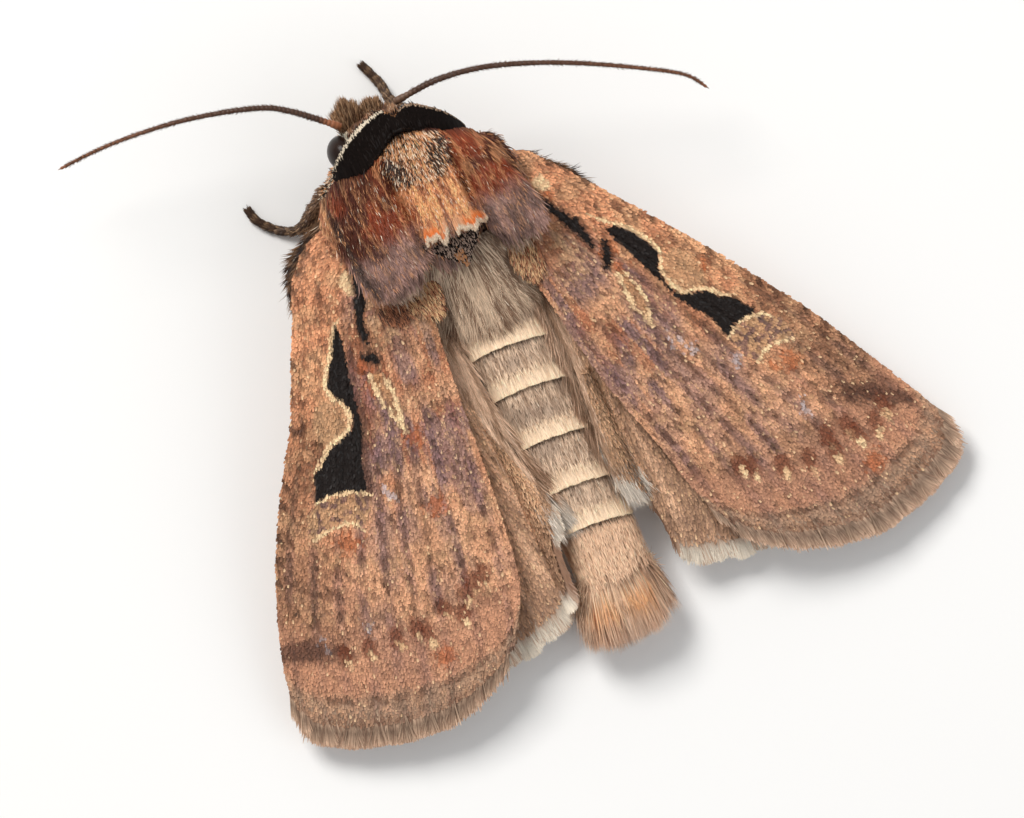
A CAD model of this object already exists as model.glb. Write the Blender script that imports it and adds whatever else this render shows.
# %% [markdown]
# # A noctuid moth at rest, seen from straight above
# The moth is life size, about 24 mm across, so every length below is in millimetres and is turned
# into metres only when a mesh is written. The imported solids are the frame: each piece of this scene
# lies where its solid lies. The moth's own drawing has its zero between the wing roots, and SHIFT
# carries a point of that drawing into the frame.

# %% Load the frame
import math

import bmesh
import bpy
import numpy as np
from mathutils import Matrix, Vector


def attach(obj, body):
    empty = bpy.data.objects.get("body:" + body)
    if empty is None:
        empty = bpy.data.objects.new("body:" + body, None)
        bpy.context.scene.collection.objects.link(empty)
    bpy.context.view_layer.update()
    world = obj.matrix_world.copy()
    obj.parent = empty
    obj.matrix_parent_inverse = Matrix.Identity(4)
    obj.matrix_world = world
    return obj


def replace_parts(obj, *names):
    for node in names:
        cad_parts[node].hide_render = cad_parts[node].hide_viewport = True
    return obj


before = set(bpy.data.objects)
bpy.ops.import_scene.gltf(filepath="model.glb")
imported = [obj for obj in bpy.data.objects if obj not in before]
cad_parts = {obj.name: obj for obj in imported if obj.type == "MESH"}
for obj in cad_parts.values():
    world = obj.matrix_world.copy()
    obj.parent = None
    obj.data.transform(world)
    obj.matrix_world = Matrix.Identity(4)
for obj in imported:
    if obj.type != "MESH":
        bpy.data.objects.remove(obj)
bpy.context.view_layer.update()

MM = 0.001
SHIFT = np.array((-0.385, 5.325, 0.0))
SIDES = ("left", "right")

# %% [markdown]
# ## Camera, light and floor
# A moth on a board is photographed from above with a long lens, which keeps the wings free of
# perspective. The camera is turned about its own axis, so that the body leans as it does in the
# picture.

# %% Camera
CAMERA_TURN = math.radians(25.5)
CAMERA_SPOT = Vector((-1.065, -2.445, 2.5))
VIEW_WIDTH = 34.13
CAMERA_AWAY = 500.0
SENSOR = 36.0


def add_object(name, data):
    made = bpy.data.objects.new(name, data)
    bpy.context.scene.collection.objects.link(made)
    return made


def make_camera():
    data = bpy.data.cameras.new("camera")
    data.sensor_width = SENSOR
    data.lens = SENSOR * CAMERA_AWAY / VIEW_WIDTH
    data.clip_start = 0.01
    data.clip_end = 10.0
    camera = add_object("camera", data)
    camera.location = (CAMERA_SPOT + Vector((0.0, 0.0, CAMERA_AWAY))) * MM
    camera.rotation_euler = (0.0, 0.0, -CAMERA_TURN)
    bpy.context.scene.camera = camera
    print("lens, mm:", round(data.lens, 1))


make_camera()

# %% [markdown]
# One broad lamp at the upper left gives the soft shadows, a weaker one fills from the right, and
# the sky adds the rest.

# %% Lamps and sky
IMAGE_UP = Vector((math.sin(CAMERA_TURN), math.cos(CAMERA_TURN), 0.0))
IMAGE_RIGHT = Vector((math.cos(CAMERA_TURN), -math.sin(CAMERA_TURN), 0.0))
SKY_LIGHT = 0.42


def make_lamp(name, up, right, height, size, power, tint):
    """A square lamp at a place given in the camera's own up and right, aimed at the moth."""
    data = bpy.data.lights.new(name, "AREA")
    data.size = size * MM
    data.energy = power
    data.color = tint
    lamp = add_object(name, data)
    lamp.location = (IMAGE_UP * up + IMAGE_RIGHT * right + Vector((0.0, 0.0, height))) * MM
    lamp.rotation_euler = (-lamp.location).to_track_quat("-Z", "Y").to_euler()


make_lamp("key_lamp", 190.0, -150.0, 260.0, 150.0, 1.05, (1.0, 0.985, 0.96))
make_lamp("fill_lamp", -120.0, 230.0, 200.0, 260.0, 0.22, (0.95, 0.97, 1.0))
sky = bpy.data.worlds.new("soft_sky")
sky.use_nodes = True
background = sky.node_tree.nodes["Background"].inputs
background["Color"].default_value = (1.0, 1.0, 1.0, 1.0)
background["Strength"].default_value = SKY_LIGHT
bpy.context.scene.world = sky
bpy.context.scene.view_settings.view_transform = "Standard"

# %% [markdown]
# The floor is a wide sheet of pale paper at the height of the six feet. It is scenery only, and
# isn't part of the moth.

# %% Floor
FLOOR_TONE = (0.93, 0.925, 0.915, 1.0)
FLOOR_HALF = 1.5


def settle(node, values):
    for name, value in values.items():
        node.inputs[name].default_value = value
    return node


def new_material(name, values):
    """A material whose shader has the given values, with its node tree and its shader."""
    made = bpy.data.materials.new(name)
    made.use_nodes = True
    return made, made.node_tree, settle(made.node_tree.nodes["Principled BSDF"], values)


def add_node(tree, kind, values=()):
    return settle(tree.nodes.new("ShaderNode" + kind), dict(values))


def wire(tree, *wires):
    """Links nodes, each wire being a node, its output, the node it goes to and that node's input."""
    for source, output, target, entry in wires:
        tree.links.new(source.outputs[output], target.inputs[entry])


def mesh_from(name, shape, *materials):
    mesh = bpy.data.meshes.new(name)
    shape.to_mesh(mesh)
    shape.free()
    for material in materials:
        mesh.materials.append(material)
    return mesh


def make_floor():
    shape = bmesh.new()
    bmesh.ops.create_grid(shape, x_segments=2, y_segments=2, size=FLOOR_HALF)
    paper = new_material("pale_paper", {"Base Color": FLOOR_TONE, "Roughness": 0.9})[0]
    add_object("floor", mesh_from("floor", shape, paper))


make_floor()

# %% [markdown]
# ## Small tools
# The markings of a moth are soft shapes with ragged edges. A value noise gives the raggedness: it
# hashes the corners of a lattice and blends between them.

# %% Numbers and noise
def blend(first, second, share):
    """Mixes colours, each one colour or one for each point: share is a number for each point."""
    return first + (second - first) * np.asarray(share, float)[:, None]


def layered(tone, *coats):
    """Lays coats of colour over a tone one after the other, each a colour and its share."""
    for ink, share in coats:
        tone = blend(tone, ink, share)
    return tone


def step(low, high, value):
    """0 below low, 1 above high and a smooth rise between them. It falls where low is above high."""
    share = np.clip((np.asarray(value, float) - low) / (high - low), 0.0, 1.0)
    return share * share * (3.0 - 2.0 * share)


def hashed(cells, seed):
    """A number from 0 to 1 for each lattice corner."""
    mixed = cells[:, 0] * 73856093 ^ cells[:, 1] * 19349663 ^ cells[:, 2] * 83492791 ^ seed * 9973
    mixed &= 0xFFFFFFFF
    for shift, factor in ((15, 2246822519), (13, 3266489917)):
        mixed = ((mixed ^ (mixed >> shift)) * factor) & 0xFFFFFFFF
    return ((mixed ^ (mixed >> 16)) & 0xFFFF) / 65535.0


def noise(points, size, seed):
    """Smooth noise from 0 to 1, with lumps of the given size in millimetres."""
    if points.shape[1] == 2:
        points = np.column_stack([points, np.zeros(len(points))])
    spots = points / size + 1000.0
    cells = np.floor(spots).astype(np.int64)
    part = spots - cells
    part = part * part * (3.0 - 2.0 * part)
    total = np.zeros(len(points))
    for corner in range(8):
        bits = np.array((corner & 1, corner >> 1 & 1, corner >> 2 & 1))
        total += np.prod(np.where(bits == 1, part, 1.0 - part), axis=1) * hashed(cells + bits, seed)
    return total


def grain(first, second, seed, size=1.0):
    """Noise over two numbers for each point, which may be stretched by a factor each."""
    return noise(np.column_stack([first, second]), size, seed)


def lines(number, seed):
    """Noise over one number for each point, so that it makes strands or clumps side by side."""
    return grain(number, 0.0 * number, seed)


def colour(red, green, blue):
    """A colour read as on a screen, 0 to 255, given back in the linear light that shaders use."""
    share = np.array((red, green, blue)) / 255.0
    return np.where(share <= 0.04045, share / 12.92, ((share + 0.055) / 1.055) ** 2.4)


def unit(vectors):
    return vectors / np.maximum(np.linalg.norm(vectors, axis=-1, keepdims=True), 1e-9)


# %% [markdown]
# Curves are Catmull-Rom splines kept as a table by length, so a whole wing of scales is placed in
# one step. Brush strokes and closed outlines are measured by how far each point lies from them.

# %% Curves and outlines
def spline(points, count=400):
    """A smooth curve through the points, as evenly spaced places along it."""
    points = np.array(points, float)
    ends = np.vstack([2 * points[0] - points[1], points, 2 * points[-1] - points[-2]])
    t = np.linspace(0.0, 1.0, 25)[:-1, None]
    places = []
    for before, start, end, after in zip(ends, ends[1:], ends[2:], ends[3:]):
        leave, arrive = (end - before) * 0.5, (after - start) * 0.5
        places.append(
            start * (2 * t**3 - 3 * t**2 + 1) + leave * (t**3 - 2 * t**2 + t)
            + end * (3 * t**2 - 2 * t**3) + arrive * (t**3 - t**2)
        )
    places = np.vstack(places + [points[-1:]])
    lengths = np.concatenate([[0.0], np.cumsum(np.linalg.norm(np.diff(places, axis=0), axis=1))])
    return table(np.linspace(0.0, lengths[-1], count), lengths, places)


def table(at, stops, values):
    """Reads rows of values, given at the stops, at other places between them."""
    return np.column_stack([np.interp(at, stops, values[:, axis]) for axis in range(values.shape[1])])


def along(curve, share):
    """Places on a curve at shares of its length, 0 to 1."""
    return table(np.clip(share, 0.0, 1.0) * (len(curve) - 1), np.arange(len(curve)), curve)


def bezier(start, middle, end, t):
    """Paths that leave start towards middle and come to end, at the steps t."""
    t = t[None, :, None]
    return start[:, None] * (1 - t) ** 2 + 2.0 * middle[:, None] * t * (1 - t) + end[:, None] * t * t


def stroke_distance(points, route):
    """How far each point is outside a brush stroke, whose route gives x, y and half its width."""
    least = np.full(len(points), 1e9)
    for start, end in zip(np.array(route), np.array(route)[1:]):
        way = end[:2] - start[:2]
        share = np.clip(((points - start[:2]) @ way) / max(way @ way, 1e-9), 0.0, 1.0)
        away = np.linalg.norm(points - start[:2] - share[:, None] * way, axis=1)
        least = np.minimum(least, away - (start[2] + (end[2] - start[2]) * share))
    return least


def shape_distance(points, outline):
    """How far each point is outside a closed outline, with a minus sign inside it."""
    outline = spline([*outline, outline[0]], 60)
    inside = np.zeros(len(points), bool)
    for start, end in zip(outline, outline[1:]):
        crosses = (start[1] > points[:, 1]) != (end[1] > points[:, 1])
        slope = (end[0] - start[0]) / (end[1] - start[1] + 1e-12)
        inside ^= crosses & (points[:, 0] < start[0] + slope * (points[:, 1] - start[1]))
    away = stroke_distance(points, np.column_stack([outline, np.zeros(len(outline))]))
    return away * np.where(inside, -1.0, 1.0)


# %% [markdown]
# ## Meshes, scales and hair
# The coat is real mesh, so it keeps its form from every side: a scale is a thin vane of four
# triangles and a hair is a narrow ribbon that bends along a path. Thousands of them are joined into
# one mesh straight from arrays. Each vane has its own little patch in the map OFBake, at the place
# of its root on the unrolled skin, so its colour can be baked without a neighbour's running in.

# %% Write a mesh
MAP_NAME = "OFBake"
TONE = "tone"
PATCH = 0.0015


def place_points(mesh, points):
    """Moves a mesh's points to places in mm of the drawing."""
    mesh.vertices.foreach_set("co", ((points + SHIFT) * MM).astype(np.float32).ravel())


def read_rows(parts, key, columns=3, kind=np.float32):
    """Reads one property of a mesh's points, triangles or corners, a row for each."""
    values = np.empty(len(parts) * columns, kind)
    parts.foreach_get(key, values)
    return values.reshape(-1, columns)


def drawn_points(mesh):
    """A mesh's points in mm of the drawing."""
    return read_rows(mesh.vertices, "co").astype(float) / MM - SHIFT


def paint(mesh, tones):
    """Writes a colour for each point, or one colour for all, to the attribute that materials read."""
    layer = mesh.color_attributes.new(name=TONE, type="FLOAT_COLOR", domain="POINT")
    full = np.ones((len(mesh.vertices), 4), np.float32)
    full[:, :3] = np.clip(tones, 0.0, 1.0)
    layer.data.foreach_set("color", full.ravel())


def place_piece(name, mesh, slot):
    piece = add_object(name, mesh)
    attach(piece, "root")
    print(f"{name}: {len(mesh.polygons)} faces")
    return piece


def write_piece(name, points, faces, tones, uvs, material, slot):
    """Joins arrays into one object: points in mm of the drawing, and faces of three corners."""
    mesh = bpy.data.meshes.new(name)
    mesh.vertices.add(len(points))
    place_points(mesh, points)
    mesh.loops.add(faces.size)
    mesh.loops.foreach_set("vertex_index", faces.astype(np.int32).ravel())
    mesh.polygons.add(len(faces))
    mesh.polygons.foreach_set("loop_start", np.arange(0, faces.size, 3, dtype=np.int32))
    mesh.update(calc_edges=True)
    mesh.shade_smooth()
    layer = mesh.uv_layers.new(name=MAP_NAME)
    layer.data.foreach_set("uv", uvs[faces.ravel()].astype(np.float32).ravel())
    paint(mesh, tones)
    mesh.materials.append(material)
    return place_piece(name, mesh, slot)


def vanes(name, path, side, width, profile, tones, roots, material, slot):
    """Ribbons along paths. path is (count, steps, 3), side the way each ribbon is wide, profile its
    width at each step as a share, tones (count, steps, 3) and roots each root's place in the map."""
    count, steps, _ = path.shape
    half = 0.5 * width[:, None, None] * np.array(profile)[None, :, None] * side[:, None, :]
    points = np.stack([path - half, path + half], axis=2).reshape(-1, 3)
    start = (np.arange(count) * steps * 2)[:, None]
    corners = [
        np.array(corner) + 2 * row for row in range(steps - 1) for corner in ((0, 1, 3), (0, 3, 2))
    ]
    if profile[-1] == 0.0:
        corners.pop()
    faces = np.concatenate([start + corner for corner in corners])
    tones = np.repeat(tones, 2, axis=1).reshape(-1, 3)
    local = np.column_stack([np.tile((-1.0, 1.0), steps), np.repeat(np.linspace(-1.0, 1.0, steps), 2)])
    uvs = (np.clip(roots, 0.01, 0.99)[:, None, :] + local[None, :, :] * PATCH).reshape(-1, 2)
    return write_piece(name, points, faces, tones, uvs, material, slot)

# %% [markdown]
# ## Finishes
# The markings are painted as numbers on the mesh's own points, from functions of the place on the
# wing or body, and one material reads them. Its nodes add what the real surface has between those
# points: fine grain in colour and gloss, and a bump at the size of single scales. Long hair is silky
# and glosses a little. The black hair is velvet, nearly without gloss.

# %% Coat materials
GLOSS_SPREAD = 0.12
BUMP_HEIGHT = 0.02


def coat_material(name, grain_size, grain_depth, roughness, bump, specular=0.5, sheen=0.0):
    made, tree, shader = new_material(
        name, {"Specular IOR Level": specular, "Sheen Weight": sheen, "Sheen Roughness": 0.4}
    )
    tone = add_node(tree, "Attribute")
    tone.attribute_name = TONE
    place = add_node(tree, "TexCoord")
    fine = add_node(tree, "TexNoise", {"Scale": 1.0 / (grain_size * MM), "Detail": 3.0})
    shade = add_node(tree, "MapRange", {"To Min": 1.0 - grain_depth, "To Max": 1.0 + grain_depth})
    scaled = add_node(tree, "VectorMath")
    scaled.operation = "SCALE"
    gloss = add_node(
        tree, "MapRange", {"To Min": roughness - GLOSS_SPREAD, "To Max": roughness + GLOSS_SPREAD}
    )
    raised = add_node(tree, "Bump", {"Strength": bump, "Distance": BUMP_HEIGHT * MM})
    wire(
        tree,
        (place, "Object", fine, "Vector"),
        (fine, "Fac", shade, "Value"),
        (tone, "Color", scaled, 0),
        (shade, "Result", scaled, "Scale"),
        (scaled, "Vector", shader, "Base Color"),
        (fine, "Fac", gloss, "Value"),
        (gloss, "Result", shader, "Roughness"),
        (fine, "Fac", raised, "Height"),
        (raised, "Normal", shader, "Normal"),
    )
    return made


wing_skin = coat_material("wing_membrane", 0.09, 0.25, 0.6, 0.6)
wing_scales = coat_material("wing_scales", 0.05, 0.22, 0.5, 0.2, specular=0.2)
body_skin = coat_material("body_skin", 0.08, 0.2, 0.75, 0.5, specular=0.3)
silky_hair = coat_material("silky_hair", 0.06, 0.18, 0.46, 0.1, specular=0.22)
velvet_hair = coat_material("velvet_hair", 0.06, 0.2, 0.8, 0.1, specular=0.1, sheen=0.05)

# %% [markdown]
# ## Wings: plan and height
# Each wing is drawn by four edges: the costa is its stiff front edge, the termen its outer edge,
# and the inner edge lies next to the body. A patch between the four gives every point of the wing
# a place across, u, and a place along, v. The wing's roof shape and the raised veins give its height.
# The hindwings lie a layer lower, and where they reach over the abdomen they are lifted by it.

# %% Outlines of the wings
FOREWING_EDGES = {
    "left": {
        "root": ((-1.9, -1.7), (-2.3, 0.3)),
        "costa": (
            (-2.3, 0.3), (-4.1, 0.25), (-5.35, -0.7), (-5.95, -1.95), (-6.5, -2.95), (-7.5, -5.0),
            (-9.05, -7.35), (-10.3, -9.7), (-11.2, -12.1), (-11.55, -13.8),
        ),
        "inner": (
            (-1.9, -1.7), (-1.63, -2.96), (-1.89, -4.93), (-2.16, -7.07), (-2.34, -9.0), (-2.79, -12.4),
            (-3.32, -13.86), (-4.0, -14.6),
        ),
        "termen": (
            (-4.0, -14.6), (-4.75, -15.5), (-6.4, -16.15), (-8.1, -16.2), (-9.6, -15.8), (-10.7, -15.3),
            (-11.35, -14.7), (-11.55, -13.8),
        ),
    },
    "right": {
        "root": ((1.5, -1.7), (1.8, 0.3)),
        "costa": (
            (1.8, 0.3), (3.2, -0.1), (3.75, -0.65), (4.54, -1.63), (6.32, -4.04), (8.11, -6.63),
            (9.71, -9.13), (11.05, -11.7), (12.05, -13.7), (12.27, -14.3),
        ),
        "inner": (
            (1.5, -1.7), (1.68, -2.96), (1.95, -4.75), (2.39, -7.6), (2.75, -9.2), (3.2, -10.8),
            (3.55, -12.4), (4.0, -13.9),
        ),
        "termen": (
            (4.0, -13.9), (4.71, -14.93), (5.96, -15.85), (7.75, -16.45), (8.82, -16.6), (9.9, -16.4),
            (11.0, -16.05), (11.9, -15.6), (12.25, -15.0), (12.27, -14.3),
        ),
    },
}
HINDWING_EDGES = {
    "left": {
        "root": ((-1.8, -2.3), (-1.9, -0.9)),
        "costa": ((-1.9, -0.9), (-4.3, -3.6), (-6.9, -8.0), (-8.5, -11.5), (-8.8, -13.4)),
        "inner": ((-1.8, -2.3), (-2.15, -4.2), (-2.1, -6.4), (-1.6, -8.2), (-1.15, -9.8), (-0.8, -11.4)),
        "termen": (
            (-0.8, -11.4), (-1.0, -12.2), (-1.3, -12.75), (-1.5, -14.3), (-2.1, -14.75), (-3.0, -15.1),
            (-4.5, -15.3), (-6.5, -15.2), (-8.0, -14.5), (-8.8, -13.4),
        ),
    },
    "right": {
        "root": ((1.9, -2.3), (1.5, -0.9)),
        "costa": ((1.5, -0.9), (4.4, -3.9), (7.1, -8.2), (8.9, -11.6), (9.4, -13.6)),
        "inner": ((1.9, -2.3), (2.2, -4.2), (2.15, -6.4), (1.75, -8.2), (1.6, -9.5), (1.36, -11.6)),
        "termen": (
            (1.36, -11.6), (1.75, -12.15), (2.2, -12.9), (2.4, -14.5), (3.2, -14.95), (4.5, -15.3),
            (6.5, -15.4), (8.3, -15.0), (9.4, -13.6),
        ),
    },
}
FOREWING_VEINS = np.array((0.1, 0.26, 0.38, 0.47, 0.56, 0.65, 0.74, 0.83, 0.93))
HINDWING_VEINS = np.array((0.12, 0.28, 0.42, 0.54, 0.66, 0.8, 0.92))
VEIN_HALF = 0.085
VEIN_HEIGHT = 0.06
WING_CAMBER = 0.18
HINDWING_DEPTH = 0.92
LIFT_GAP = 0.55
ABDOMEN_START = -3.0
ABDOMEN_LENGTH = 11.5


def roof(x, y):
    """A sloping roof, measured from its height over the root of a wing."""
    return 0.115 * y - 0.13 * (np.abs(x) - 2.5)


def abdomen_section(y):
    """Middle across, middle height, half width and half height of the abdomen at places along it."""
    share = np.clip((np.asarray(y, float) - ABDOMEN_START) / -ABDOMEN_LENGTH, 0.0, 1.0)
    middle_x = 0.08 + 0.16 * np.sin(share * np.pi)
    middle_z = 2.6 + (1.45 - 2.6) * share**0.8
    half_width = 1.5 - 0.16 * step(0.0, 1.0, share * 1.4)
    return middle_x, middle_z, half_width, 1.5 - 0.42 * share


def abdomen_height(x, y, grow=0.0):
    """The top of the abdomen grown by some mm, or 0 beside it."""
    middle_x, middle_z, half_width, half_height = abdomen_section(y)
    offset = np.clip((x - middle_x) / (half_width + grow), -1.0, 1.0)
    top = middle_z + (half_height + grow) * np.sqrt(1.0 - offset**2)
    return np.where(np.abs(offset) < 1.0, top, 0.0)


class Wing:
    """One wing, with functions from u and v, two arrays, to its places and sizes."""

    def __init__(self, kind, side, edges, veins, depth, lifted):
        self.name = f"{kind}_{side}"
        self.kind, self.side, self.veins, self.depth, self.lifted = kind, side, veins, depth, lifted
        self.slot = kind + "_scales"
        self.edges = {name: spline(points) for name, points in edges[side].items()}

    def plan(self, u, v):
        root, termen = (along(self.edges[name], u) for name in ("root", "termen"))
        inner, costa = (along(self.edges[name], v) for name in ("inner", "costa"))
        (inner_root, inner_end), (costa_root, costa_end) = (
            self.edges[name][[0, -1]] for name in ("inner", "costa")
        )
        u, v = u[:, None], v[:, None]
        corners = inner_root * (1 - u) * (1 - v) + costa_root * u * (1 - v)
        corners = corners + inner_end * (1 - u) * v + costa_end * u * v
        return inner * (1 - u) + costa * u + root * (1 - v) + termen * v - corners

    def width(self, v):
        ends = np.ones(len(v))
        return np.linalg.norm(self.plan(ends, v) - self.plan(0.0 * ends, v), axis=1)

    def off_vein(self, u, v):
        """How far each point is from the nearest vein."""
        return np.abs(u[:, None] - self.veins[None, :]).min(axis=1) * self.width(v)

    def surface(self, u, v):
        """Points on the middle layer, with the roof, the bow, the veins and the lobe on the abdomen."""
        x, y = self.plan(u, v).T
        bow = np.sin(np.pi * np.clip(u, 0, 1)) * np.sin(np.pi * np.clip(v * 0.9 + 0.1, 0, 1))
        ridge = np.exp(-((self.off_vein(u, v) / VEIN_HALF) ** 2)) * step(0.02, 0.25, v)
        z = 3.9 + roof(x, y) - self.depth + WING_CAMBER * bow + VEIN_HEIGHT * ridge
        if self.lifted:
            over = np.maximum(z, abdomen_height(x, y, LIFT_GAP))
            z = z + (over - z) * step(-7.3, -8.0, y)
        return np.column_stack([x, y, z])

    def beside(self, u, v):
        """The way across the wing at each point."""
        high, low = (np.clip(u + shift, 0, 1) for shift in (0.01, -0.01))
        return unit(self.surface(high, v) - self.surface(low, v))


FOREWINGS = [Wing("forewing", side, FOREWING_EDGES, FOREWING_VEINS, 0.0, False) for side in SIDES]
HINDWINGS = [
    Wing("hindwing", side, HINDWING_EDGES, HINDWING_VEINS, HINDWING_DEPTH, True) for side in SIDES
]

# %% [markdown]
# ## Forewing markings
# The forewing is rusty tan along its front third, and behind it rust and mauve grey, streaked along
# the veins. In the middle cell lies one long black velvet mark with a cream edge in front. It bends
# round a round sandy patch and ends at a kidney-shaped one. Behind it is a pale spindle, and at the
# root a black dash. Outwards come dark dashes on the veins, a row of pale spots and a rusty edge.
# The two wings lie a little differently, so each has its own short outlines. A stroke gives x, y and
# half its width. Noise makes every edge ragged.

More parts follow.
